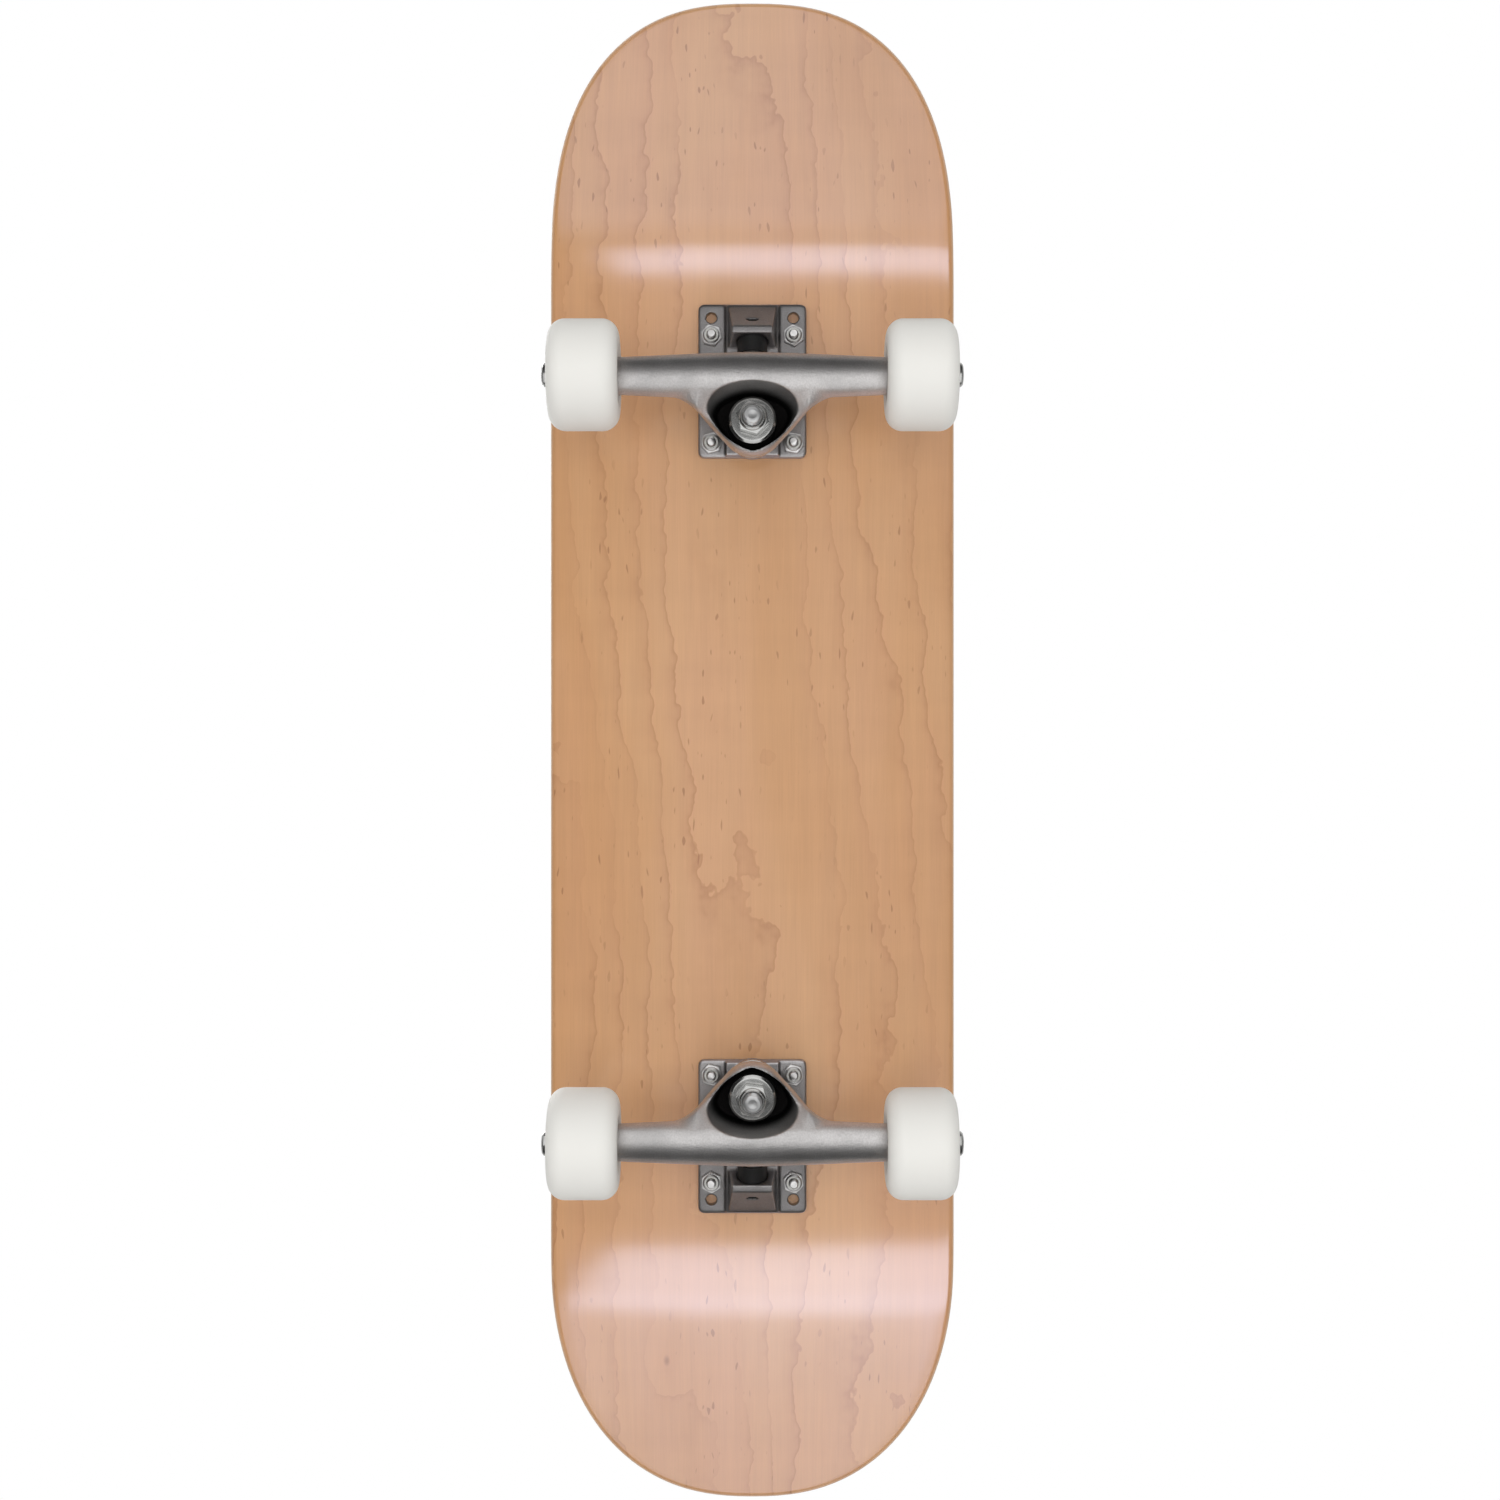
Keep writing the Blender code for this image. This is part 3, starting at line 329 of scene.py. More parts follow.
def add_piece(name, mesh, finishes, matrix=None, body=None, stands_for=()):
    """Puts a copy of the mesh in place, gives it its finishes and rides it on its body."""
    own = mesh.copy()
    own.name = name
    if matrix is not None:
        own.transform(matrix)
    own.materials.clear()
    for finish in finishes:
        own.materials.append(finish)
    obj = added(name, own)
    ends = [end for end in ENDS if name.startswith(end)] or ENDS
    for group in ["board"] if name in ("deck_wood", "grip_sheet") else ends:
        light_group(group).objects.link(obj)
    if body:
        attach(obj, body)
    if stands_for:
        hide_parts(*stands_for)
    return obj


def chamfered_hex(across, low, high, crown):
    """Hexagon bar whose corners are turned off at both ends."""
    corner = across / 2 / math.cos(math.pi / 6)
    body = prism(eased(circle(corner, 6), 0.35 * MM, 3), low, high)
    wide = corner + 0.2 * MM
    turn = turned([(across / 2 - 0.4 * MM, low), (wide, low + crown), (wide, high - crown),
                   (across / 2 - 0.4 * MM, high)], 60)
    return carved(body, [("INTERSECT", turn)])


def locknut(across, bore, low, high):
    """Hexagon nut with a rolled collar that holds a nylon ring. The ring's faces take the second finish."""
    waist = low + (high - low) * 0.7
    inside = across / 2 - 0.5 * MM
    steel = chamfered_hex(across, low, waist, 0.7 * MM)
    collar = turned(eased([(inside, waist - 0.8 * MM), (inside, high - 0.7 * MM), (inside - 1.1 * MM, high),
                           (bore + 1.1 * MM, high), (bore + 1.1 * MM, waist - 0.8 * MM)], 0.5 * MM, 4), 48, True)
    steel = carved(steel, [("UNION", collar), ("DIFFERENCE", rod(bore, low - MM, high + MM))])
    nylon = turned_ring(bore + 1.15 * MM, bore - 0.1 * MM, waist + 0.2 * MM, high - 0.25 * MM, 40, 0.3 * MM)
    return steel, nylon


def threaded(radius, low, high, pitch, depth, sides=32, tip=0.6 * MM):
    """Screw thread as one skin: each ring's points follow the helix."""
    rows = max(8, int((high - low) / pitch * 6))
    sections = []
    for row in range(rows + 1):
        z = low + (high - low) * row / rows
        fade = min(1.0, (high - z) / tip)
        section = []
        for i in range(sides):
            phase = (z / pitch + i / sides) % 1.0
            cut = depth * abs(2 * phase - 1) + (1 - fade) * tip
            angle = 2 * math.pi * i / sides
            section.append(((radius - cut) * math.cos(angle), (radius - cut) * math.sin(angle), z))
        sections.append(section)
    return loft(sections)


# ---------------------------------------------------------------- shader writing

class Term:
    """A shader socket that takes part in Python sums."""

    def __init__(self, finish, socket):
        self.finish = finish
        self.socket = socket

    def sum(self, operation, *values):
        return self.finish.node("ShaderNodeMath", {"operation": operation}, dict(enumerate(values)))

    def __add__(self, other):
        return self.sum("ADD", self, other)

    def __sub__(self, other):
        return self.sum("SUBTRACT", self, other)

    def __rsub__(self, other):
        return self.sum("SUBTRACT", other, self)

    def __mul__(self, other):
        return self.sum("MULTIPLY", self, other)

    def __truediv__(self, other):
        return self.sum("DIVIDE", self, other)

    def __pow__(self, other):
        return self.sum("POWER", self, other)

    def __abs__(self):
        return self.sum("ABSOLUTE", self)

    __radd__ = __add__
    __rmul__ = __mul__

    def fraction(self):
        return self.sum("FRACT", self)

    def whole(self):
        return self.sum("FLOOR", self)

    def most(self, other):
        return self.sum("MAXIMUM", self, other)

    def band(self, low, high, to_low=0.0, to_high=1.0):
        """Runs smoothly from to_low to to_high while the value goes from low to high."""
        return self.finish.node("ShaderNodeMapRange", {"interpolation_type": "SMOOTHSTEP"},
                                {"Value": self, "From Min": low, "From Max": high,
                                 "To Min": to_low, "To Max": to_high})

    def stretched(self, *factors):
        return self.finish.node("ShaderNodeVectorMath", {"operation": "MULTIPLY"}, {0: self, 1: factors})

    def shifted(self, *amounts):
        return self.finish.node("ShaderNodeVectorMath", {"operation": "ADD"}, {0: self, 1: amounts})


class Finish:
    """One material: its nodes are added by node(), and its shader's sockets are set by paint()."""

    def __init__(self, name):
        self.material = bpy.data.materials.new(name)
        self.material.use_nodes = True
        self.tree = self.material.node_tree
        self.tree.nodes.clear()
        output = self.tree.nodes.new("ShaderNodeOutputMaterial")
        self.shader = self.tree.nodes.new("ShaderNodeBsdfPrincipled")
        self.tree.links.new(self.shader.outputs[0], output.inputs[0])
        self.place = self.node("ShaderNodeTexCoord", output="Object")

    def fill(self, socket, value):
        if isinstance(value, Term):
            self.tree.links.new(value.socket, socket)
        elif hasattr(value, "__len__") and len(socket.default_value) == 4 and len(value) == 3:
            socket.default_value = (*value, 1.0)
        else:
            socket.default_value = value

    def node(self, kind, settings=None, inputs=None, output=0):
        made = self.tree.nodes.new(kind)
        for name, value in (settings or {}).items():
            setattr(made, name, value)
        for key, value in (inputs or {}).items():
            self.fill(made.inputs[key], value)
        return Term(self, made.outputs[output])

    def noise(self, place, scale, detail=2.0, roughness=0.5):
        return self.node("ShaderNodeTexNoise", {},
                         {"Vector": place, "Scale": scale, "Detail": detail, "Roughness": roughness})

    def cells(self, place, scale):
        return self.node("ShaderNodeTexVoronoi", {}, {"Vector": place, "Scale": scale}, "Distance")

    def parts(self, vector):
        split = self.node("ShaderNodeSeparateXYZ", {}, {0: vector})
        return [Term(self, socket) for socket in split.socket.node.outputs]

    def mix(self, factor, one, other, blend="MIX"):
        made = self.tree.nodes.new("ShaderNodeMix")
        made.data_type, made.blend_type = "RGBA", blend
        colours = [socket for socket in made.inputs if socket.type == "RGBA"]
        self.fill(made.inputs[0], factor)
        self.fill(colours[0], one)
        self.fill(colours[1], other)
        return Term(self, next(s for s in made.outputs if s.type == "RGBA"))

    def toned(self, colour, tone):
        """The colour made lighter or darker by one number at every point."""
        grey = self.node("ShaderNodeCombineXYZ", {}, {0: tone, 1: tone, 2: tone})
        return self.mix(1.0, colour, grey, "MULTIPLY")

    def bump(self, height, depth, strength):
        return self.node("ShaderNodeBump", {}, {"Height": height, "Distance": depth, "Strength": strength})

    def paint(self, **sockets):
        for name, value in sockets.items():
            self.fill(self.shader.inputs[name.replace("_", " ")], value)
        return self.material


def shade(colour, factor):
    return tuple(channel * factor for channel in colour)


# ---------------------------------------------------------------- finishes

def maple_finish(look):
    """Flat-sawn maple under clear lacquer: ring lines, fibre, flecks, a small knot and the plies' edges."""
    f = Finish("maple_lacquered")
    flat = f.place.stretched(1, 1, 0)
    x, y, _ = f.parts(f.place)
    sway = f.noise(flat.stretched(15, 30, 1), 1.0, 1.0) - 0.5
    ripple = f.noise(flat.stretched(58, 62, 1).shifted(5, 1, 0), 1.0, 2.0) - 0.5
    jitter = f.noise(flat.stretched(190, 260, 1), 1.0, 1.0) - 0.5
    knot_x, knot_y = x - look.knot_place[0], y - look.knot_place[1]
    knot = (knot_x * knot_x + knot_y * knot_y * 3.2) ** 0.5
    bulge = knot.band(0.0, 0.03, 1.0, 0.0)
    tilt = f.noise(flat.stretched(1.7, 3.0, 1).shifted(2, 9, 0), 1.0, 0.0) * 1.4
    rings = f.noise(flat.stretched(2.0, 15, 1), 1.0, 0.4) * look.ring_count + y * 38.0 + x * 3.0 + tilt
    rings = rings + sway + ripple * 0.62 + jitter * 0.14 + bulge * 0.8
    step = rings.fraction()
    shown = f.noise(flat.stretched(5, 16, 1), 1.0, 2.0).band(0.38, 0.58)
    line = (step ** 20) * step.band(0.975, 1.0, 1.0, 0.0) * shown
    bloom = (step ** 3.5) * (shown * 0.6 + 0.4)
    cloud = f.noise(flat.stretched(4, 15, 1), 1.0, 3.0).band(0.3, 0.7)
    blush = f.noise(flat.stretched(6, 24, 1).shifted(7, 3, 0), 1.0, 2.0).band(0.35, 0.7)
    curl = f.noise(flat.stretched(60, 8, 1), 1.0, 2.0) - 0.5
    fibre = f.noise(flat.stretched(30, 1300, 1), 1.0, 3.0, 0.6) - 0.5
    streak = f.noise(flat.stretched(9, 210, 1), 1.0, 3.0, 0.65) - 0.5
    fleck = f.noise(flat.stretched(115, 420, 1), 1.0, 0.0).band(0.74, 0.80)
    fleck = fleck * f.noise(flat.stretched(9, 24, 1).shifted(3, 0, 0), 1.0, 1.0).band(0.45, 0.60)
    wood = f.mix(cloud, look.maple, look.maple_light)
    wood = f.mix(blush * 0.45, wood, look.maple_pink)
    wood = f.mix(line * 0.62, wood, look.ring_line)
    wood = f.mix(bloom * 0.30, wood, look.ring_line)
    wood = f.mix(fleck * 0.62, wood, shade(look.ring_line, 0.8))
    wood = f.mix(knot.band(0.0005, 0.004, 0.62, 0.0), wood, shade(look.ring_line, 0.75))
    tone = curl * 0.09 + fibre * 0.13 + streak * 0.16 + 1.0
    wood = f.toned(wood, tone)
    through = f.node("ShaderNodeAttribute", {"attribute_name": "through"}, output="Fac")
    level = through * PLIES
    inside, number = level.fraction(), level.whole()
    glue = inside.band(0.0, 0.08, 1.0, 0.0).most(inside.band(0.92, 1.0))
    crossed = abs(abs(number - 3.0) - 1.0).band(0.1, 0.5, 1.0, 0.0)
    pores = f.noise(f.place.stretched(500, 500, 2600), 1.0, 2.0) - 0.5
    ply = f.mix(crossed, look.ply_long, look.ply_cross)
    ply = f.mix(glue * 0.6, ply, shade(look.ply_cross, 0.45))
    ply = f.toned(ply, pores * 0.35 + 1.0)
    cut = through.band(0.80 / PLIES, 0.92 / PLIES)
    rough = 0.46 + fibre * 0.10 + cut * 0.16 + (cloud - 0.5) * 0.05
    relief = fibre + line * -0.6 + streak
    return f.paint(Base_Color=f.mix(cut, wood, ply), Roughness=rough, Coat_Weight=(1 - cut) * look.lacquer,
                   Specular_IOR_Level=0.25, Coat_Roughness=look.lacquer_roughness, Coat_IOR=look.lacquer_ior,
                   Normal=f.bump(relief, 0.05 * MM, 0.35))


def grip_finish(look):
    """Black silicon carbide paper: sharp grains over a felted base, with faint dusty patches."""
    f = Finish("grip_grit")
    grains = f.cells(f.place, 1700.0)
    coarse = f.cells(f.place.shifted(3, 1, 2), 900.0)
    dust = f.noise(f.place, 35.0, 4.0).band(0.45, 0.75)
    glint = f.noise(f.place, 2400.0, 1.0).band(0.66, 0.74)
    colour = f.mix(grains.band(0.1, 0.6), shade(look.grip_colour, 1.7), shade(look.grip_colour, 0.5))
    colour = f.mix(dust * 0.18, colour, (0.10, 0.095, 0.09))
    colour = f.mix(glint * 0.5, colour, (0.20, 0.20, 0.21))
    height = (1 - grains) + (1 - coarse) * 0.6
    return f.paint(Base_Color=colour, Roughness=0.93 - glint * 0.45, Normal=f.bump(height, 0.35 * MM, 0.9))


def casting_finish(name, colour, rough, grit, edge_rub_and_highlight):
    """Tumbled cast aluminium: grainy skin, cloudy tone, edges brighter as rubbed wear and as a painted highlight,
    painted shade in hollows and in the hanger's recess.
    """
    f = Finish(name)
    grain = f.noise(f.place, grit, 3.0, 0.6)
    cloud = f.noise(f.place, 70.0, 3.0).band(0.3, 0.7)
    stain = f.noise(f.place.shifted(0.4, 0.1, 0.2), 22.0, 4.0, 0.6).band(0.45, 0.75)
    edge = f.node("ShaderNodeNewGeometry", output="Pointiness").band(0.515, 0.60)
    hollow_shade = f.node("ShaderNodeNewGeometry", output="Pointiness").band(0.40, 0.49, 1.0, 0.0)
    recess = f.node("ShaderNodeAttribute", {"attribute_name": "recess"}, output="Fac")
    base = f.mix(cloud, shade(colour, 0.90), shade(colour, 1.08))
    base = f.mix(stain * 0.30, base, shade(colour, 0.74))
    # painted shade: hollows and creases darkened
    base = f.mix(hollow_shade * 0.45, base, shade(colour, 0.45))
    # brighter edges: partly rubbed wear, partly a painted highlight
    base = f.mix(edge * edge_rub_and_highlight, base, (0.86, 0.85, 0.84))
    base = f.mix(grain.band(0.30, 0.70) * 0.35, base, shade(colour, 0.62))
    # painted shade: the hanger's recess darkens to near black down at its seat
    base = f.mix(recess.band(0.10, 0.85), base, (0.012, 0.011, 0.011))
    roughness = rough + (grain - 0.5) * 0.35 - edge * 0.12 + stain * 0.06 + recess * 0.25
    return f.paint(Base_Color=base, Metallic=0.96, Roughness=roughness,
                   Normal=f.bump(grain, 0.16 * MM, 1.0))


def steel_finish(name, colour, rough):
    """Plated steel: fine turning marks, a few scuffs and a soft cloud in the plating."""
    f = Finish(name)
    fine = f.noise(f.place, 700.0, 2.0)
    cloud = f.noise(f.place, 160.0, 3.0).band(0.3, 0.7)
    scuff = f.noise(f.place.stretched(900, 160, 300), 1.0, 2.0).band(0.62, 0.70)
    base = f.mix(cloud, shade(colour, 0.88), shade(colour, 1.06))
    base = f.mix(scuff * 0.15, base, shade(colour, 1.35))
    return f.paint(Base_Color=base, Metallic=1.0, Roughness=rough + (fine - 0.5) * 0.08 + scuff * 0.05,
                   Normal=f.bump(fine + scuff * 0.4, 0.0005 * MM, 0.15))


def urethane_finish(name, colour, rough, grit):
    """Cast urethane: a faint cloud in the colour, a satin skin and fine lathe marks."""
    f = Finish(name)
    cloud = f.noise(f.place, 45.0, 3.0).band(0.3, 0.7)
    skin = f.noise(f.place, grit, 2.0)
    scuff = f.noise(f.place.stretched(220, 900, 220), 1.0, 3.0).band(0.60, 0.72)
    base = f.mix(cloud, shade(colour, 0.975), shade(colour, 1.01))
    base = f.mix(scuff * 0.10, base, shade(colour, 0.80))
    return f.paint(Base_Color=base, Roughness=rough + (skin - 0.5) * 0.12 + scuff * 0.08,
                   Normal=f.bump(skin, 0.03 * MM, 0.5))


def made_once(name, maker, *values):
    """The named material, made the first time that it is asked for."""
    return bpy.data.materials.get(name) or maker(*values)


def finish_for(name):
    """Every finish by its name, from the panel's settings."""
    scene = bpy.context.scene
    truck, wheel, hardware = scene.skate_truck, scene.skate_wheel, scene.skate_hardware
    makers = {
        "maple_lacquered": (maple_finish, scene.skate_deck),
        "grip_grit": (grip_finish, scene.skate_deck),
        "baseplate_casting": (casting_finish, "baseplate_casting", truck.baseplate_colour, 0.36, 1500.0, 0.55),
        "hanger_casting": (casting_finish, "hanger_casting", truck.hanger_colour, truck.hanger_roughness,
                           1300.0, 0.30),
        "washer_steel": (steel_finish, "washer_steel", truck.steel_colour, 0.20),
        "kingpin_steel": (steel_finish, "kingpin_steel", shade(truck.steel_colour, 0.72), 0.34),
        "bushing_urethane": (urethane_finish, "bushing_urethane", truck.bushing_colour, 0.48, 1200.0),
        "wheel_urethane": (urethane_finish, "wheel_urethane", wheel.urethane_colour, 0.52, 1600.0),
        "bearing_steel": (steel_finish, "bearing_steel", wheel.bearing_colour, 0.22),
        "bearing_shield": (urethane_finish, "bearing_shield", (0.05, 0.05, 0.055), 0.42, 2200.0),
        "bolt_plated_steel": (steel_finish, "bolt_plated_steel", hardware.bolt_colour, 0.38),
        "nut_nylon": (urethane_finish, "nut_nylon", hardware.nylon_colour, 0.40, 1500.0),
    }
    maker, *values = makers[name]
    return made_once(name, maker, *values)


# ---------------------------------------------------------------- the board's surface

def kick_rise(distance, degrees):
    """Height and slope of a kick, the given distance past where its bend starts."""
    angle = math.radians(degrees)
    bend = KICK_RADIUS * math.sin(angle)
    if distance <= 0:
        return 0.0, 0.0
    if distance < bend:
        height = KICK_RADIUS - math.sqrt(KICK_RADIUS ** 2 - distance ** 2)
        return height, distance / (KICK_RADIUS - height)
    return KICK_RADIUS * (1 - math.cos(angle)) + (distance - bend) * math.tan(angle), math.tan(angle)


def underside(x, y):
    """Height of the deck's underside, and its slope along x."""
    kick = KICKS["nose" if x > 0 else "tail"]
    rise, slope = kick_rise(abs(x) - kick["start"], kick["angle"])
    beyond = max(0.0, abs(x) - kick["start"]) / (DECK_LENGTH / 2 - kick["start"])
    depth = CONCAVE_DEPTH * (1 - CONCAVE_FADE * beyond)
    across = max(0.0, abs(y) - FLAT_HALF) / (DECK_WIDTH / 2 - FLAT_HALF)
    return UNDERSIDE_Z + rise + depth * across ** CONCAVE_POWER, slope


def outline(inset, rail_steps=26, bend_steps=10, tip_steps=34):
    """(x, half width) stations from the tail's tip to the nose's tip."""
    half = DECK_WIDTH / 2 - inset
    ends = {}
    for end, kick in KICKS.items():
        rail_end = DECK_LENGTH / 2 - kick["length"]
        length = kick["length"] - inset
        points = [(kick["start"] * i / rail_steps, half) for i in range(1, rail_steps + 1)]
        points += [(kick["start"] + (rail_end - kick["start"]) * i / bend_steps, half)
                   for i in range(1, bend_steps + 1)]
        for i in range(1, tip_steps + 1):
            angle = math.pi / 2 * i / tip_steps
            width = half * max(0.0, math.cos(angle)) ** (2 / kick["across"]) if i < tip_steps else 0.0
            points.append((rail_end + length * math.sin(angle) ** (2 / kick["along"]), width))
        ends[end] = points
    return [(-x, w) for x, w in reversed(ends["tail"])] + [(0.0, half)] + ends["nose"]


def across_shares(half, steps=11):
    """Places across a section as shares of its half width, closer together over the concave."""
    flat = FLAT_HALF / half
    side = [flat * i / 4 for i in range(1, 5)] + [flat + (1 - flat) * i / steps for i in range(1, steps + 1)]
    return [-share for share in reversed(side)] + [0.0] + side


def board_sheet(low, high, inset, edge):
    """Body between two offsets from the underside. edge holds (inset, height) points of its rounded side."""
    side_lines = [outline(inset + step) for step, _ in edge]
    face = outline(inset + max(step for step, _ in edge))
    shares = across_shares(face[len(face) // 2][1])
    sections = []
    for k, (x_face, half_face) in enumerate(face):
        section = []
        for sign, offset, row in ((1, low, shares), (-1, high, list(reversed(shares)))):
            for share in row:
                height, slope = underside(x_face, share * half_face)
                section.append((x_face, share * half_face, height + offset * math.hypot(1, slope)))
            order = range(len(edge)) if sign > 0 else reversed(range(len(edge)))
            for i in order:
                x, half = side_lines[i][k]
                height, slope = underside(x, half)
                section.append((x, sign * half, height + edge[i][1] * math.hypot(1, slope)))
        sections.append(section)
    bm = bmesh.new()
    rings = [[bm.verts.new(point) for point in section] for section in sections]
    ring_skin(bm, rings, caps=False)
    bmesh.ops.remove_doubles(bm, verts=bm.verts, dist=2e-6)
    bmesh.ops.dissolve_degenerate(bm, edges=bm.edges, dist=1e-6)
    bmesh.ops.recalc_face_normals(bm, faces=bm.faces)
    return bm


def truck_frame(end):
    """The truck's own frame, from where its baseplate lies."""
    middle, _ = extent(f"{end}_baseplate")
    turn = Matrix.Rotation(0.0 if end == "nose" else math.pi, 4, "Z")
    return Matrix.Translation((middle.x, middle.y, UNDERSIDE_Z)) @ turn @ FLIP


def bolt_points():
    """Middle of each of the eight bolts on the deck's underside."""
    return [truck_frame(end) @ Vector((HOLE_U[row], side * HOLE_W, 0))
            for end in ENDS for row in ("inner", "outer") for side in (-1, 1)]


def drilled(body, hole, name):
    """The finished body with one hole, given by (radius, depth) points, cut at each of the eight bolts."""
    tools = [moved(turned(hole, 32), Matrix.Translation(point) @ FLIP) for point in bolt_points()]
    return finished(carved(body, [("DIFFERENCE", merged(*tools))]), name, 40.0)


def mark_through(mesh):
    """Writes how far through the deck each point lies, 0 on the underside and 1 on top."""
    layer = mesh.attributes.new("through", "FLOAT", "POINT")
    for vertex, value in zip(mesh.vertices, layer.data):
        height, slope = underside(vertex.co.x, vertex.co.y)
        value.value = min(1.0, max(0.0, (vertex.co.z - height) / (THICKNESS * math.hypot(1, slope))))


# ---------------------------------------------------------------- truck shapes

def kingpin_axis():
    return Matrix.Translation((KINGPIN_U, 0, 0)) @ Matrix.Rotation(KINGPIN_LEAN, 4, "Y")


def square_to_kingpin(u, level):
    return (level - math.sin(KINGPIN_LEAN) * (u - KINGPIN_U)) / math.cos(KINGPIN_LEAN)


def pivot_axis():
    """Origin at the pivot cup's mouth, z into the cup along the steering axis."""
    seat = kingpin_axis() @ Vector((0, 0, LEVELS["seat"] + SEAT / 2))
    mouth = Vector((PIVOT_U, 0, PIVOT_H))
    turn = Vector((0, 0, 1)).rotation_difference((mouth - seat).normalized())
    return Matrix.Translation(mouth) @ turn.to_matrix().to_4x4()


def plate_outline(length, width, corner):
    half_u, half_w = length / 2, width / 2
    return eased([(half_u, half_w), (-half_u, half_w), (-half_u, -half_w), (half_u, -half_w)], corner, 8)


def housing():
    """Pivot housing: two cheeks round the cup and a scooped outer face that climbs to a crest."""
    into = pivot_axis().to_3x3() @ Vector((0, 0, 1))
    lean = -into.z / into.x
    foot, crest = 4 * MM, CREST_HEIGHT
    face_low, face_high = PIVOT_U - (PIVOT_H - foot) * lean, PIVOT_U + (crest - PIVOT_H) * lean
    end = PLATE_LENGTH / 2 - 1.1 * MM
    start, finish = Vector((end, PLATE_THICKNESS + 2.0 * MM)), Vector((face_high + 3.4 * MM, crest))
    pull = Vector((face_high + 11.4 * MM, PLATE_THICKNESS + 6.6 * MM))
    scoop = [tuple(start * (1 - t) ** 2 + pull * 2 * t * (1 - t) + finish * t ** 2)
             for t in (i / 10 for i in range(11))]
    profile = [(face_low, foot), (end, foot)] + scoop + [(face_high, crest)]
    sections = []
    for side in (-1, 1):
        section = []
        for u, h in profile:
            share = (h - foot) / (crest - foot)
            section.append((u, side * (FOOT_HALF + share * (CREST_HALF - FOOT_HALF)), h))
        sections.append(section)
    return loft(sections)


def baseplate_shape():
    edge = 1.0 * MM
    levels = [(0.35, GAP), (0.0, GAP + 0.35 * MM), (0.0, PLATE_THICKNESS - edge),
              (0.3, PLATE_THICKNESS - 0.35 * MM), (1.0, PLATE_THICKNESS)]
    plate = loft([[(u, w, h) for u, w in plate_outline(PLATE_LENGTH - 2 * step * edge, PLATE_WIDTH - 2 * step * edge,
                                                       PLATE_CORNER - step * edge * 0.6)] for step, h in levels])
    foot, top = BAND_WIDTH / 2 + 1.2 * MM, BAND_WIDTH / 2
    end = PLATE_LENGTH / 2 - 0.8 * MM
    band = loft([[(u, w, h) for w, h in ((-foot, 3 * MM), (foot, 3 * MM), (top, BAND_HEIGHT), (-top, BAND_HEIGHT))]
                 for u in (-end, end)])
    boss = moved(turned([(BAND_WIDTH / 2 - 1.0 * MM, 4 * MM), (BAND_WIDTH / 2 - 2.2 * MM, BOSS_HEIGHT)], 56),
                 kingpin_axis())
    steps = [("UNION", band), ("UNION", boss), ("UNION", housing())]
    steps.append(("DIFFERENCE", moved(rod(KINGPIN_RADIUS + GAP, -5 * MM, BOSS_HEIGHT + MM), kingpin_axis())))
    hexagon = circle((KINGPIN_HEX / 2 + GAP) / math.cos(math.pi / 6), 6, 0.5)
    steps.append(("DIFFERENCE", moved(prism(hexagon, -5 * MM, HEAD_HIGH + GAP), kingpin_axis())))
    steps.append(("DIFFERENCE", moved(rod(CUP_RADIUS + 0.15 * MM, -12 * MM, CUP_DEPTH + GAP), pivot_axis())))
    body = carved(plate, steps)
    body = cast(body, bpy.context.scene.skate_truck.casting_detail, 5)
    holes = []
    for u in HOLE_U.values():
        for side in (-1, 1):
            rim = turned([(HOLE_RADIUS, -MM), (HOLE_RADIUS, PLATE_THICKNESS - 0.35 * MM),
                          (HOLE_RADIUS + 0.8 * MM, PLATE_THICKNESS + 0.45 * MM),
                          (HOLE_RADIUS + 0.8 * MM, PLATE_THICKNESS + 3 * MM)], 40)
            holes.append(moved(rim, Matrix.Translation((u, side * HOLE_W, 0))))
    return finished(carved(body, [("DIFFERENCE", merged(*holes))]), "baseplate", 50.0)


def ring_edge(w):
    """The hanger's inner outline in plan: a round tip, straight flanks and a soft flare into the barrel."""
    barrel_edge = AXLE_U - BARREL_END
    centre = RING_EDGE_U + RING_RADIUS
    tangent = RING_RADIUS * math.sin(RING_SLOPE)
    w = abs(w)
    if w < tangent:
        edge = centre - math.sqrt(RING_RADIUS ** 2 - w ** 2)
    else:
        edge = centre - RING_RADIUS * math.cos(RING_SLOPE) + (w - tangent) * math.tan(RING_SLOPE)
    return barrel_edge - RING_FLARE * math.log(1 + math.exp((barrel_edge - edge) / RING_FLARE))


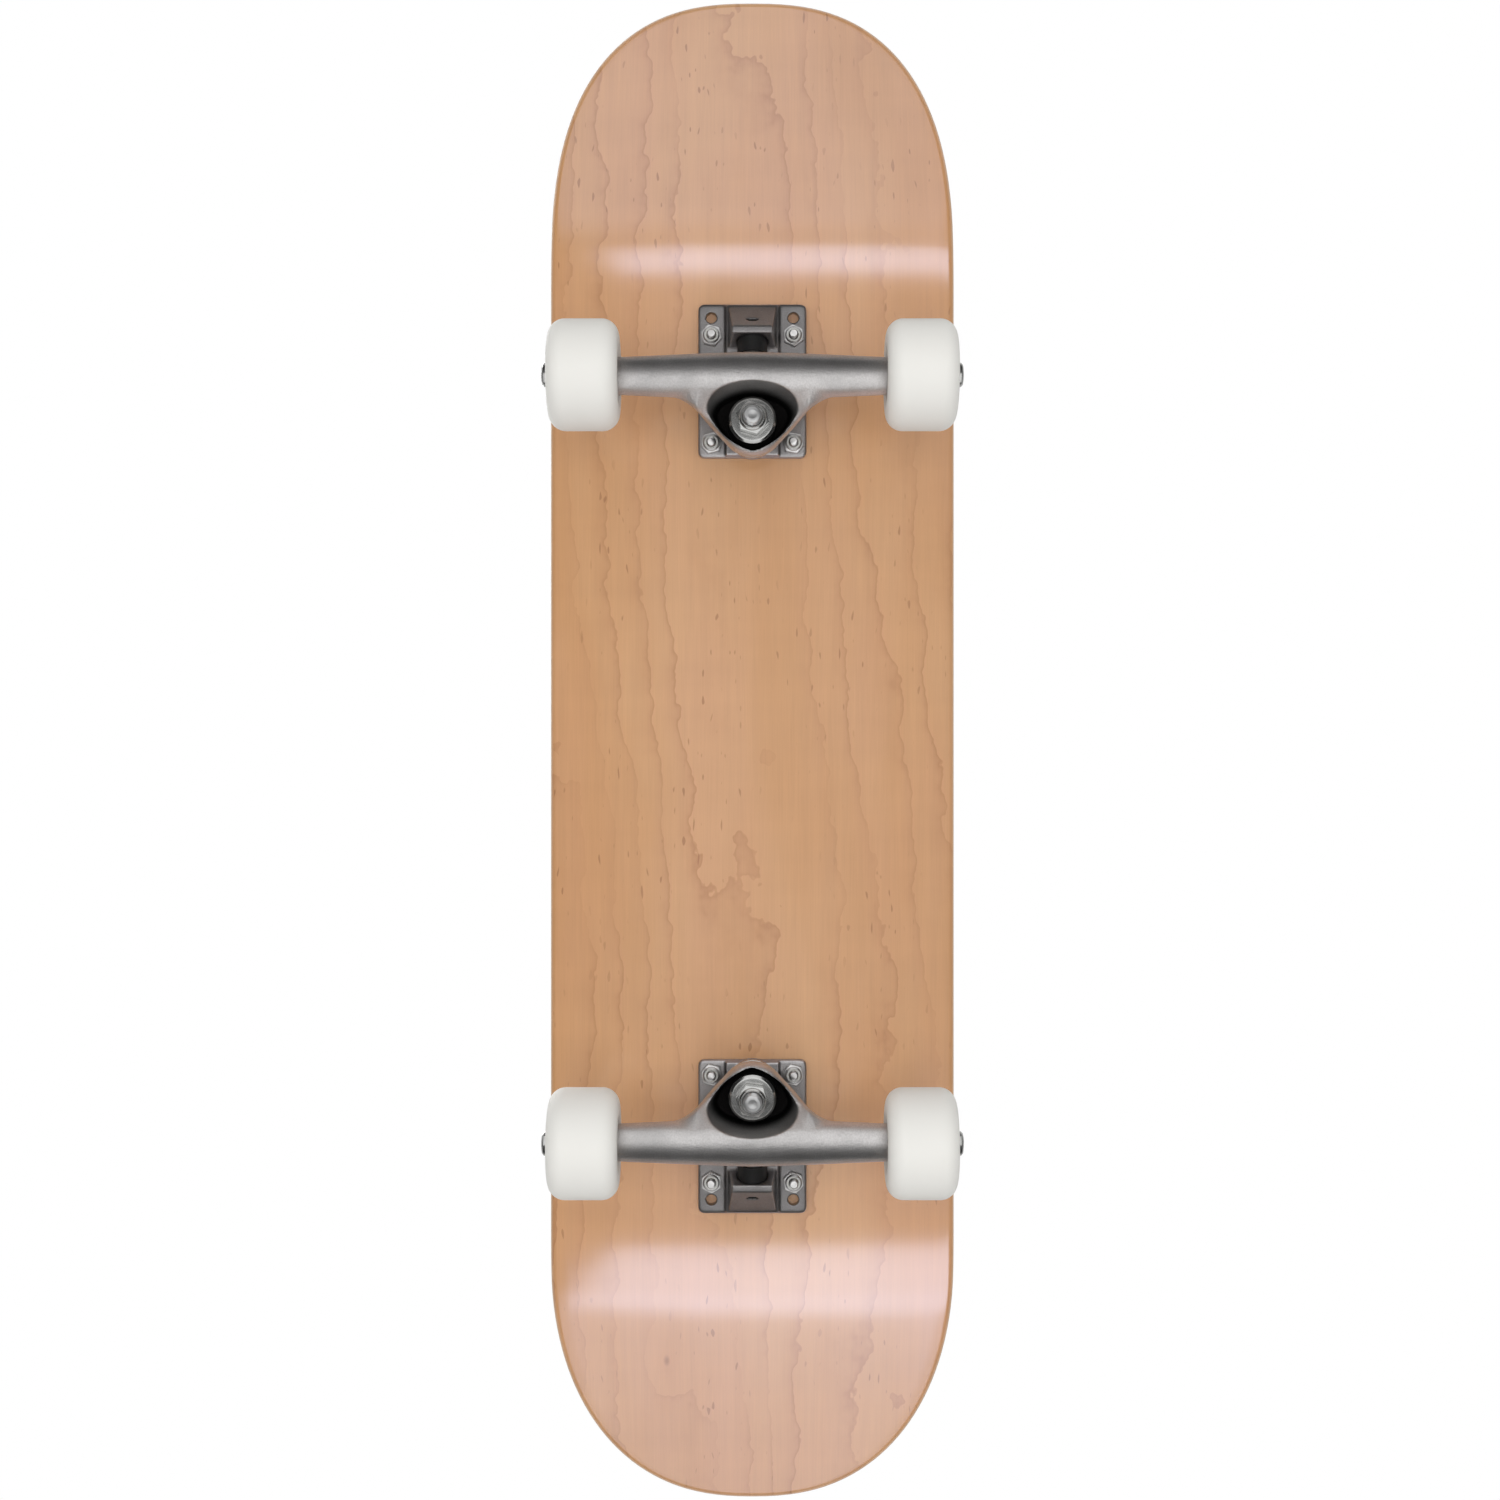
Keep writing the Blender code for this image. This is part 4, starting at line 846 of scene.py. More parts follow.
def hanger_section(w, sides):
    """Hull of the discs that make the hanger's section: barrel, ring rim, ring floor and pivot arm."""
    out = min(1.0, abs(w) / (HANGER_WIDTH / 2))
    barrel = BARREL_MID + (BARREL_END - BARREL_MID) * out ** 1.2
    edge = ring_edge(w)
    reach = (AXLE_U - BARREL_END - edge) / (AXLE_U - BARREL_END - RING_EDGE_U)
    fade = min(1.0, max(0.0, (abs(w) - FLOOR_HALF) / FLOOR_FADE))
    depth = max(min(1.0, max(0.0, reach)), (math.cos(math.pi * fade) + 1) / 2)
    rim_h = AXLE_H + (LEVELS["seat"] + RIM + RIM_LIFT - AXLE_H) * depth
    arm = math.cos(math.pi / 2 * min(1.0, abs(w) / ARM_HALF)) ** 2
    arm_radius = min(barrel, barrel + (ARM_RADIUS - barrel) * arm)
    discs = [(AXLE_U, AXLE_H, barrel), (edge + RIM, rim_h, RIM), (edge + RIM, rim_h + RING_RISE * depth, RIM),
             (AXLE_U - FLOOR_INSET * depth, rim_h, RIM),
             (AXLE_U + (ARM_U - AXLE_U) * arm, AXLE_H + (ARM_H - AXLE_H) * arm, arm_radius)]
    points = []
    for i in range(sides):
        angle = 2 * math.pi * (i + 0.5) / sides
        du, dh = math.cos(angle), math.sin(angle)
        u, h, radius = max(discs, key=lambda disc: disc[0] * du + disc[1] * dh + disc[2])
        points.append((w, u + radius * du, h + radius * dh))
    return [(u, w, h) for w, u, h in points]


def recess_outline(side, front, back, steps=56):
    """Outline like a guitar pick: an ellipse towards the axle and a pointed end towards the ring's tip."""
    points = []
    for i in range(steps):
        c, s = math.cos(2 * math.pi * i / steps), math.sin(2 * math.pi * i / steps)
        power = 1.0 if c >= 0 else 4.0 / 3.0
        reach = front if c >= 0 else back
        points.append((RECESS_CENTRE_U + reach * math.copysign(abs(c) ** power, c),
                       side * math.copysign(abs(s) ** power, s)))
    return points


def recess_tool():
    floor = LEVELS["seat"] + SEAT
    low = recess_outline(RECESS_SIDE, RECESS_FRONT, RECESS_REACH_BACK)
    high = recess_outline(RECESS_SIDE + RECESS_FLARE_SIDE, RECESS_FRONT + RECESS_FLARE_FRONT, RECESS_REACH_BACK)
    return loft([[(u, w, square_to_kingpin(u, floor)) for u, w in low],
                 [(u, w, RECESS_MOUTH_H) for u, w in high]])


def mark_recess_shade(mesh):
    """Writes how deep each point of the hanger lies in its recess: 0 at the mouth, 1 on the seat. The finish paints
    shade from it, near black at the seat.
    """
    layer = mesh.attributes.new("recess", "FLOAT", "POINT")
    floor = LEVELS["seat"] + SEAT
    for vertex, value in zip(mesh.vertices, layer.data):
        u, w, h = vertex.co
        rise = (h - floor) / (RECESS_MOUTH_H - floor)
        side = RECESS_SIDE + RECESS_FLARE_SIDE * max(0.0, rise)
        if u > RECESS_CENTRE_U:
            front = RECESS_FRONT + RECESS_FLARE_FRONT * max(0.0, rise)
            place = ((u - RECESS_CENTRE_U) / front) ** 2 + (w / side) ** 2
        else:
            place = ((RECESS_CENTRE_U - u) / RECESS_REACH_BACK) ** 1.5 + (abs(w) / side) ** 1.5
        value.value = max(0.0, 1 - max(0.0, rise) / 0.62) if place < 1.07 else 0.0


def hanger_shape():
    half = HANGER_WIDTH / 2
    places = [half * (i / 40) ** 1.25 for i in range(41)]
    stations = [-w for w in reversed(places[1:])] + places
    body = loft([hanger_section(w, 48) for w in stations])
    pin = turned([(PIN_RADIUS + 2.5 * MM, -16 * MM), (PIN_RADIUS, -MM), (PIN_RADIUS, 3.5 * MM),
                  (PIN_RADIUS * 0.75, 5.9 * MM), (PIN_RADIUS * 0.3, 6.8 * MM)], 48)
    seat = LEVELS["seat"]
    hole = moved(rod(SEAT_HOLE, seat - 10 * MM, seat + SEAT + 2 * MM), kingpin_axis())
    under = moved(rod(SEAT_UNDERCUT, 0.0, seat, 64), kingpin_axis())
    body = carved(body, [("UNION", moved(pin, pivot_axis())), ("DIFFERENCE", recess_tool()),
                         ("DIFFERENCE", under), ("DIFFERENCE", hole)])
    body = cast(body, bpy.context.scene.skate_truck.casting_detail * 1.15, 5)
    along = Matrix.Translation((AXLE_U, 0, AXLE_H)) @ Matrix.Rotation(math.pi / 2, 4, "X")
    bore = rod(AXLE_RADIUS + 0.05 * MM, -half - 5 * MM, half + 5 * MM)
    mesh = finished(carved(body, [("DIFFERENCE", moved(bore, along))]), "hanger", 50.0)
    mark_recess_shade(mesh)
    return mesh


def pivot_cup_shape():
    mouth, floor = CUP_RADIUS - CUP_WALL, CUP_DEPTH - CUP_WALL
    lip = CUP_RADIUS - CUP_COLLAR_WALL
    profile = [(0.0, CUP_DEPTH), (CUP_RADIUS, CUP_DEPTH), (CUP_RADIUS, 0.0), (CUP_RADIUS, -CUP_COLLAR),
               (lip, -CUP_COLLAR), (mouth, 0.0), (mouth, floor), (0.0, floor)]
    soft = [0, 0.8 * MM, 0, 0.7 * MM, 0.3 * MM, 0.5 * MM, 2.0 * MM, 0]
    return finished(turned(eased(profile, soft, 5, loop=False), 56), "pivot_cup")


def kingpin_shape():
    head = chamfered_hex(KINGPIN_HEX, HEAD_LOW, HEAD_HIGH, 0.8 * MM)
    head = moved(head, Matrix.Rotation(math.pi / 6, 4, "Z"))
    start = LEVELS["nut"] - 1.5 * MM
    shank = turned(eased([(KINGPIN_RADIUS - 0.05 * MM, HEAD_HIGH - MM), (KINGPIN_RADIUS - 0.05 * MM, start)], 0), 48)
    thread = threaded(KINGPIN_RADIUS, start - 0.2 * MM, KINGPIN_END, THREAD_PITCH, 0.55 * MM, 40, 0.9 * MM)
    dimple = turned([(2.2 * MM, KINGPIN_END + MM), (2.2 * MM, KINGPIN_END - 0.15 * MM),
                     (0.4 * MM, KINGPIN_END - 0.5 * MM)], 32)
    return finished(merged(head, shank, carved(thread, [("DIFFERENCE", dimple)])), "kingpin", 35.0)


def cup_washer_shape(radius, level, rim_sign):
    """Pressed cup washer: a dished disc with a rolled rim that turns towards the bushing."""
    inner = KINGPIN_RADIUS + GAP
    back, face = (level, level + WASHER) if rim_sign > 0 else (level + WASHER, level)
    rim = face + rim_sign * WASHER_RIM
    bend = 1.4 * MM
    profile = [(inner, back), (radius - bend, back), (radius, back + rim_sign * bend), (radius, rim),
               (radius - 1.1 * MM, rim), (radius - 1.1 * MM - bend * 0.4, face), (inner, face)]
    soft = [0.3 * MM, 0.9 * MM, 0.9 * MM, 0.5 * MM, 0.5 * MM, 0.5 * MM, 0.3 * MM]
    return finished(turned(eased(profile, soft, 5), 72, True), "cup_washer")


def bushing_shape(level, height, low, middle, high):
    """Moulded cushion with rounded shoulders and a slight waist or belly."""
    inner = KINGPIN_RADIUS + GAP
    steps = 8
    side = []
    for i in range(steps + 1):
        t = i / steps
        side.append((low * (1 - t) ** 2 + (2 * middle - (low + high) / 2) * 2 * t * (1 - t) + high * t ** 2,
                     level + height * t))
    profile = [(inner, level)] + side + [(inner, level + height)]
    soft = [0.5 * MM, 1.1 * MM] + [0] * (steps - 1) + [1.1 * MM, 0.5 * MM]
    return finished(turned(eased(profile, soft, 4), 56, True), "bushing")


def axle_shape():
    """Axle rod with rolled threads and a bevelled tip at both ends."""
    half = AXLE_LENGTH / 2
    start = half - 9.5 * MM
    rod_part = turned([(AXLE_RADIUS - 0.02 * MM, -start), (AXLE_RADIUS - 0.02 * MM, start)], 40)
    ends = []
    for turn in (0.0, math.pi):
        thread = threaded(AXLE_RADIUS, start - 0.2 * MM, half, THREAD_PITCH, 0.5 * MM, 32, 0.7 * MM)
        ends.append(moved(thread, Matrix.Rotation(turn, 4, "X")))
    return finished(merged(rod_part, *ends), "axle", 35.0)


# ---------------------------------------------------------------- wheel shapes, z along the axle

def wheel_shape():
    """Poured wheel: radiused lips, a dished face down to the bearing seat, and the core's shoulder."""
    half, tread = WHEEL_WIDTH / 2, TREAD_WIDTH / 2
    corner = half - tread
    arc = [(WHEEL_RADIUS - corner + corner * math.cos(a), tread + corner * math.sin(a))
           for a in (math.pi / 2 * i / 12 for i in range(13))]
    seat, shoulder = BEARING_RADIUS + 0.12 * MM, SPACER_LENGTH / 2 - GAP
    face = SPACER_LENGTH / 2 + BEARING_WIDTH
    mouth = [(15.2 * MM, half), (14.0 * MM, half - 0.7 * MM), (13.2 * MM, face + 1.2 * MM),
             (seat + 0.5 * MM, face + 0.2 * MM), (seat, face - 0.4 * MM), (seat, shoulder), (8.8 * MM, shoulder)]
    outer = arc + eased([arc[-1]] + mouth, 0.8 * MM, 4, loop=False)[1:]
    inner = [(radius, -z) for radius, z in reversed(outer)]
    return finished(turned(outer + inner, 112, True), "wheel", 40.0)


def bearing_shape():
    """608 bearing: two races with rounded edges and a pressed shield on each side between them."""
    width = BEARING_WIDTH
    outer = turned_ring(BEARING_RADIUS, BEARING_RADIUS - RACE_WALL, 0.0, width, 56, 0.35 * MM)
    inner = turned_ring(BEARING_BORE + RACE_WALL, BEARING_BORE, 0.0, width, 48, 0.3 * MM)
    high, low = BEARING_RADIUS - 1.75 * MM, BEARING_BORE + 1.8 * MM
    middle = (high + low) / 2
    steps = [(low, 0.5), (low, 0.9), (middle - MM, 0.75), (middle + MM, 0.75), (high, 0.9), (high, 0.4),
             (middle + MM, 0.3), (middle - MM, 0.3)]
    shields = []
    for flip in (False, True):
        profile = [(r, width - z * MM if flip else z * MM) for r, z in steps]
        shields.append(turned(eased(profile, 0.2 * MM, 3), 48, True))
    return two_finish(merged(outer, inner), merged(*shields), "bearing")


def two_finish(first, second, name):
    """Joins two bodies; the second one's faces take the second finish."""
    count = len(first.faces)
    whole = merged(first, second)
    whole.faces.ensure_lookup_table()
    for face in whole.faces[count:]:
        face.material_index = 1
    return finished(whole, name)


# ---------------------------------------------------------------- mounting hardware, flipped to point down

def bolt_shape():
    """Countersunk bolt with a cross recess. The head's flat is at z = 0 and the thread runs down."""
    head = turned([(BOLT_HEAD - 0.05 * MM, 0.0), (BOLT_HEAD, 0.12 * MM), (BOLT_HEAD, 0.35 * MM),
                   (BOLT_RADIUS, BOLT_SINK), (BOLT_RADIUS - 0.2 * MM, BOLT_SINK + 1.2 * MM)], 28)
    blades = []
    for turn in (0.0, math.pi / 2):
        blade = loft([[(x, y, -0.5 * MM) for x, y in ((2.4 * MM, 0.55 * MM), (-2.4 * MM, 0.55 * MM),
                                                      (-2.4 * MM, -0.55 * MM), (2.4 * MM, -0.55 * MM))],
                      [(x, y, 1.7 * MM) for x, y in ((0.7 * MM, 0.3 * MM), (-0.7 * MM, 0.3 * MM),
                                                     (-0.7 * MM, -0.3 * MM), (0.7 * MM, -0.3 * MM))]])
        blades.append(("DIFFERENCE", moved(blade, Matrix.Rotation(turn, 4, "Z"))))
    thread = threaded(BOLT_RADIUS, BOLT_SINK + 0.9 * MM, BOLT_LENGTH, BOLT_PITCH, 0.4 * MM, 16, 0.5 * MM)
    return moved(merged(carved(head, blades), thread), FLIP)


def scatter_tree():
    """Geometry Nodes tree that sets one piece at every point, each turned by its own angle."""
    tree = bpy.data.node_groups.new("set_on_points", "GeometryNodeTree")
    sockets = tree.interface
    sockets.new_socket("Geometry", in_out="OUTPUT", socket_type="NodeSocketGeometry")
    for name, kind in (("Points", "NodeSocketGeometry"), ("Piece", "NodeSocketObject"),
                       ("Height", "NodeSocketFloat"), ("Largest turn", "NodeSocketFloat"),
                       ("Seed", "NodeSocketInt"), ("Finish", "NodeSocketMaterial")):
        sockets.new_socket(name, in_out="INPUT", socket_type=kind)
    nodes, links = tree.nodes, tree.links
    entry, leave = nodes.new("NodeGroupInput"), nodes.new("NodeGroupOutput")
    points = nodes.new("GeometryNodeMeshToPoints")
    lift = nodes.new("GeometryNodeSetPosition")
    offset = nodes.new("ShaderNodeCombineXYZ")
    piece = nodes.new("GeometryNodeObjectInfo")
    turn = nodes.new("FunctionNodeRandomValue")
    euler = nodes.new("ShaderNodeCombineXYZ")
    place = nodes.new("GeometryNodeInstanceOnPoints")
    real = nodes.new("GeometryNodeRealizeInstances")
    coat = nodes.new("GeometryNodeSetMaterial")
    turn.data_type = "FLOAT"
    numbers = [socket for socket in turn.inputs if socket.type == "VALUE" and socket.enabled]
    for start, end in ((entry.outputs["Points"], points.inputs["Mesh"]),
                       (entry.outputs["Height"], offset.inputs["Z"]),
                       (points.outputs[0], lift.inputs["Geometry"]),
                       (offset.outputs[0], lift.inputs["Offset"]),
                       (entry.outputs["Piece"], piece.inputs["Object"]),
                       (entry.outputs["Largest turn"], numbers[1]),
                       (entry.outputs["Seed"], turn.inputs["Seed"]),
                       (next(s for s in turn.outputs if s.enabled), euler.inputs["Z"]),
                       (lift.outputs[0], place.inputs["Points"]),
                       (piece.outputs["Geometry"], place.inputs["Instance"]),
                       (euler.outputs[0], place.inputs["Rotation"]),
                       (place.outputs[0], real.inputs[0]),
                       (real.outputs[0], coat.inputs["Geometry"]),
                       (entry.outputs["Finish"], coat.inputs["Material"]),
                       (coat.outputs[0], leave.inputs[0])):
        links.new(start, end)
    return tree


def set_on_points(name, piece_bm, points, height, largest_turn, finish, angle=30.0):
    """Runs the tree on the points and returns the plain mesh of all the set pieces."""
    tree = bpy.data.node_groups.get("set_on_points") or scatter_tree()
    source = helper(piece_bm, f"{name}_source")
    cloud = bpy.data.meshes.new(f"{name}_points")
    cloud.from_pydata([tuple(point) for point in points], [], [])
    carrier = added(f"{name}_carrier", cloud)
    modifier = carrier.modifiers.new("set", "NODES")
    modifier.node_group = tree
    values = {"Piece": source, "Height": height, "Largest turn": largest_turn,
              "Seed": bpy.context.scene.skate_hardware.seed, "Finish": finish}
    for socket in tree.interface.items_tree:
        if socket.in_out == "INPUT" and socket.name in values:
            modifier[socket.identifier] = values[socket.name]
    evaluated = carrier.evaluated_get(bpy.context.evaluated_depsgraph_get())
    mesh = bpy.data.meshes.new_from_object(evaluated)
    carrier.modifiers.clear()
    bpy.data.objects.remove(carrier, do_unlink=True)
    bpy.data.objects.remove(source, do_unlink=True)
    if not mesh.vertices:
        raise RuntimeError(f"{name}: the tree set no pieces")
    return smoothed(mesh, angle)


# ---------------------------------------------------------------- settings

def colour_setting(name, description, default):
    return FloatVectorProperty(name=name, description=description, default=default, subtype="COLOR",
                               min=0.0, max=1.0)


def power_setting(name, description, default):
    return FloatProperty(name=name, description=description, default=default, min=0.0, unit="POWER")


class SkateDeckSettings(bpy.types.PropertyGroup):
    maple: colour_setting("Maple", "Main colour of the veneer", (0.590, 0.300, 0.124))
    maple_light: colour_setting("Light maple", "Paler clouds in the veneer", (0.640, 0.350, 0.164))
    maple_pink: colour_setting("Pink maple", "Rosy clouds in the veneer", (0.630, 0.328, 0.168))
    ring_line: colour_setting("Ring line", "Late wood between growth rings", (0.400, 0.170, 0.066))
    ply_long: colour_setting("Long plies", "Edge of the plies that run along the board", (0.66, 0.45, 0.27))
    ply_cross: colour_setting("Cross plies", "Edge of the plies that run across the board", (0.40, 0.22, 0.11))
    grip_colour: colour_setting("Grip", "Colour of the grip tape", (0.022, 0.022, 0.024))
    ring_count: FloatProperty(name="Ring count", description="How closely the growth rings lie", default=5.0,
                              min=1.0, max=20.0)
    lacquer_roughness: FloatProperty(name="Lacquer roughness", description="How much the clear coat blurs",
                                     default=0.20, min=0.0, max=1.0, subtype="FACTOR")
    lacquer_ior: FloatProperty(name="Lacquer index", description="Index of refraction of the clear coat",
                               default=1.9, min=1.0, max=3.0)
    lacquer: FloatProperty(name="Lacquer", description="Weight of the clear coat", default=1.0, min=0.0,
                           max=1.0, subtype="FACTOR")
    knot_place: FloatVectorProperty(name="Knot", description="Where the small knot lies", size=2,
                                    default=(-0.316, -0.044), subtype="XYZ", unit="LENGTH")
    edge_round: FloatProperty(name="Edge round", description="Radius sanded on the deck's edges",
                              default=3.2 * MM, min=0.5 * MM, max=5 * MM, subtype="DISTANCE", unit="LENGTH")


class SkateTruckSettings(bpy.types.PropertyGroup):
    baseplate_colour: colour_setting("Baseplate", "Metal of the baseplates", (0.40, 0.385, 0.385))
    hanger_colour: colour_setting("Hanger", "Metal of the hangers", (0.56, 0.545, 0.54))
    steel_colour: colour_setting("Steel", "Washers, nuts and kingpin", (0.44, 0.44, 0.43))
    bushing_colour: colour_setting("Bushing", "Urethane of the bushings", (0.012, 0.012, 0.012))
    hanger_roughness: FloatProperty(name="Hanger roughness", description="Roughness of the tumbled hanger",
                                    default=0.40, min=0.05, max=1.0, subtype="FACTOR")
    casting_detail: FloatProperty(name="Casting detail", description="Smallest detail kept on the castings",
                                  default=0.52 * MM, min=0.3 * MM, max=2 * MM, subtype="DISTANCE", unit="LENGTH")


class SkateWheelSettings(bpy.types.PropertyGroup):
    urethane_colour: colour_setting("Urethane", "Colour of the wheels", (0.87, 0.86, 0.83))
    bearing_colour: colour_setting("Bearing", "Metal of the bearing races", (0.55, 0.55, 0.57))


class SkateHardwareSettings(bpy.types.PropertyGroup):
    bolt_colour: colour_setting("Bolts", "Zinc plating of the mounting hardware", (0.46, 0.455, 0.45))
    nylon_colour: colour_setting("Nylon", "Locking rings in the nuts", (0.62, 0.62, 0.58))
    seed: IntProperty(name="Seed", description="Chooses how the bolts and nuts are turned", default=11)


class SkateStageSettings(bpy.types.PropertyGroup):
    floor_colour: colour_setting("Floor", "Colour of the plain floor", (0.86, 0.86, 0.86))
    lens: FloatProperty(name="Lens", description="Focal length of the camera", default=52.15, min=10.0,
                        max=300.0, unit="CAMERA")
    fill_light: power_setting("Fill light", "Power of the even light from below the board", 46.0)
    nose_light: power_setting("Nose light", "Power of the light that glosses the nose", 17.0)
    tail_light: power_setting("Tail light", "Power of the light that glosses the tail", 40.0)
    sheen_light: power_setting("Sheen light", "Power of each light that the kicks' flats mirror", 9.0)
    side_light: power_setting("Side light", "Power of each of the four even lights around", 29.0)
    truck_light: power_setting("Truck light", "Power of the light under each truck", 5.2)
    top_light: power_setting("Top light", "Power of the light above the board", 30.0)


# ---------------------------------------------------------------- operators

class SKATE_OT_deck(bpy.types.Operator):
    """Build the deck: seven plies with concave, kicks, sanded edges and countersunk bolt holes"""
    bl_idname = "skate.deck"
    bl_label = "Deck"

    def execute(self, context):
        r = context.scene.skate_deck.edge_round
        edge = [(r * (1 - math.sin(a)), r * (1 - math.cos(a))) for a in (math.pi / 2 * i / 5 for i in range(1, 6))]
        edge += [(step, THICKNESS - h) for step, h in reversed(edge)]
        body = board_sheet(0.0, THICKNESS, 0.0, [(r, 0.0)] + edge + [(r, THICKNESS)])
        top = -THICKNESS
        sink, wide = top + BOLT_SINK + 2 * GAP, BOLT_HEAD + 2 * GAP
        hole = [(HOLE_RADIUS, MM), (HOLE_RADIUS, sink), (wide, top + GAP), (wide, top - 2 * MM)]
        mesh = drilled(body, hole, "deck")
        mark_through(mesh)
        add_piece("deck_wood", mesh, [finish_for("maple_lacquered")], None, "deck", ("deck",))
        return {"FINISHED"}


class SKATE_OT_grip(bpy.types.Operator):
    """Build the grip tape: a thin gritty sheet over the deck's top"""
    bl_idname = "skate.grip"
    bl_label = "Grip tape"

    def execute(self, context):
        low = THICKNESS + GAP
        high = low + GRIP_THICKNESS
        body = board_sheet(low, high, GRIP_INSET, [(0.0, low), (0.0, high)])
        radius = BOLT_HEAD + 3 * GAP
        mesh = drilled(body, [(radius, MM - THICKNESS), (radius, -high - MM)], "grip")
        add_piece("grip_sheet", mesh, [finish_for("grip_grit")], None, "deck", ("grip_tape",))
        return {"FINISHED"}


class SKATE_OT_baseplates(bpy.types.Operator):
    """Build the baseplates with their pivot cups"""
    bl_idname = "skate.baseplates"
    bl_label = "Baseplates"

    def execute(self, context):
        plate, cup = baseplate_shape(), pivot_cup_shape()
        for end in ENDS:
            at = truck_frame(end)
            add_piece(f"{end}_baseplate_casting", plate, [finish_for("baseplate_casting")], at, "deck",
                      (f"{end}_baseplate",))
            add_piece(f"{end}_pivot_cup_liner", cup, [finish_for("bushing_urethane")], at @ pivot_axis(), "deck",
                      (f"{end}_pivot_cup",))
        return {"FINISHED"}


class SKATE_OT_kingpins(bpy.types.Operator):
    """Build the kingpins with their cup washers and lock nuts"""
    bl_idname = "skate.kingpins"
    bl_label = "Kingpins"

    def execute(self, context):
        pin = kingpin_shape()
        _, lower_size = extent("nose_lower_washer")
        _, upper_size = extent("nose_upper_washer")
        lower = cup_washer_shape(lower_size.y / 2, LEVELS["lower_washer"], 1)
        upper = cup_washer_shape(upper_size.y / 2, LEVELS["upper_washer"], -1)
        nut = two_finish(*locknut(KINGPIN_HEX, KINGPIN_RADIUS + 0.1 * MM, LEVELS["nut"], LEVELS["nut"] + NUT_HEIGHT),
                         "kingpin_nut")
        steel = finish_for("washer_steel")
        for end in ENDS:
            at = truck_frame(end) @ kingpin_axis()
            turn = Matrix.Rotation(math.radians(KINGPIN_NUT_TURNS[end]), 4, "Z")
            add_piece(f"{end}_kingpin_bolt", pin, [finish_for("kingpin_steel")], at, "deck",
                      (f"{end}_kingpin",))
            add_piece(f"{end}_lower_cup_washer", lower, [steel], at, "deck", (f"{end}_lower_washer",))
            add_piece(f"{end}_upper_cup_washer", upper, [steel], at, "deck", (f"{end}_upper_washer",))
            add_piece(f"{end}_kingpin_locknut", nut, [steel, finish_for("nut_nylon")], at @ turn, "deck",
                      (f"{end}_kingpin_nut",))
        return {"FINISHED"}


class SKATE_OT_bushings(bpy.types.Operator):
    """Build the bushings between the deck and the hanger"""
    bl_idname = "skate.bushings"
    bl_label = "Bushings"

    def execute(self, context):
        rubber = finish_for("bushing_urethane")
        stack = (("lower", LEVELS["lower_bushing"], LOWER_BUSHING, LOWER_BUSHING_RADII),
                 ("upper", LEVELS["upper_bushing"], UPPER_BUSHING, UPPER_BUSHING_RADII))
        for which, level, height, radii in stack:
            mesh = bushing_shape(level, height, *radii)
            for end in ENDS:
                at = truck_frame(end) @ kingpin_axis()
                obj = add_piece(f"{end}_{which}_cushion", mesh, [rubber], at)
                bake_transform(obj)
                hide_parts(f"{end}_{which}_bushing")
        return {"FINISHED"}


class SKATE_OT_hangers(bpy.types.Operator):
    """Build the hangers with their axles"""
    bl_idname = "skate.hangers"
    bl_label = "Hangers"

    def execute(self, context):
        hanger, axle = hanger_shape(), axle_shape()
        along = Matrix.Translation((AXLE_U, 0, AXLE_H)) @ Matrix.Rotation(-math.pi / 2, 4, "X")
        for end in ENDS:
            body, at = f"{end}_hanger", truck_frame(end)
            add_piece(f"{end}_hanger_casting", hanger, [finish_for("hanger_casting")], at, body, (body,))
            add_piece(f"{end}_axle_rod", axle, [finish_for("kingpin_steel")], at @ along, body,
                      (f"{end}_axle",))
        return {"FINISHED"}


def wheel_frame(end, side):
    """Middle of a wheel, z outward along the axle."""
    middle, _ = extent(f"{end}_{side}_wheel")
    return Matrix.Translation(middle) @ Matrix.Rotation(-math.pi / 2 if side == "left" else math.pi / 2, 4, "X")


class SKATE_OT_wheels(bpy.types.Operator):
    """Build the four wheels"""
    bl_idname = "skate.wheels"
    bl_label = "Wheels"

    def execute(self, context):
        mesh = wheel_shape()
        for end in ENDS:
            for side in SIDES:
                body = f"{end}_{side}_wheel"
                add_piece(f"{end}_{side}_tyre", mesh, [finish_for("wheel_urethane")], wheel_frame(end, side),
                          body, (body,))
        return {"FINISHED"}


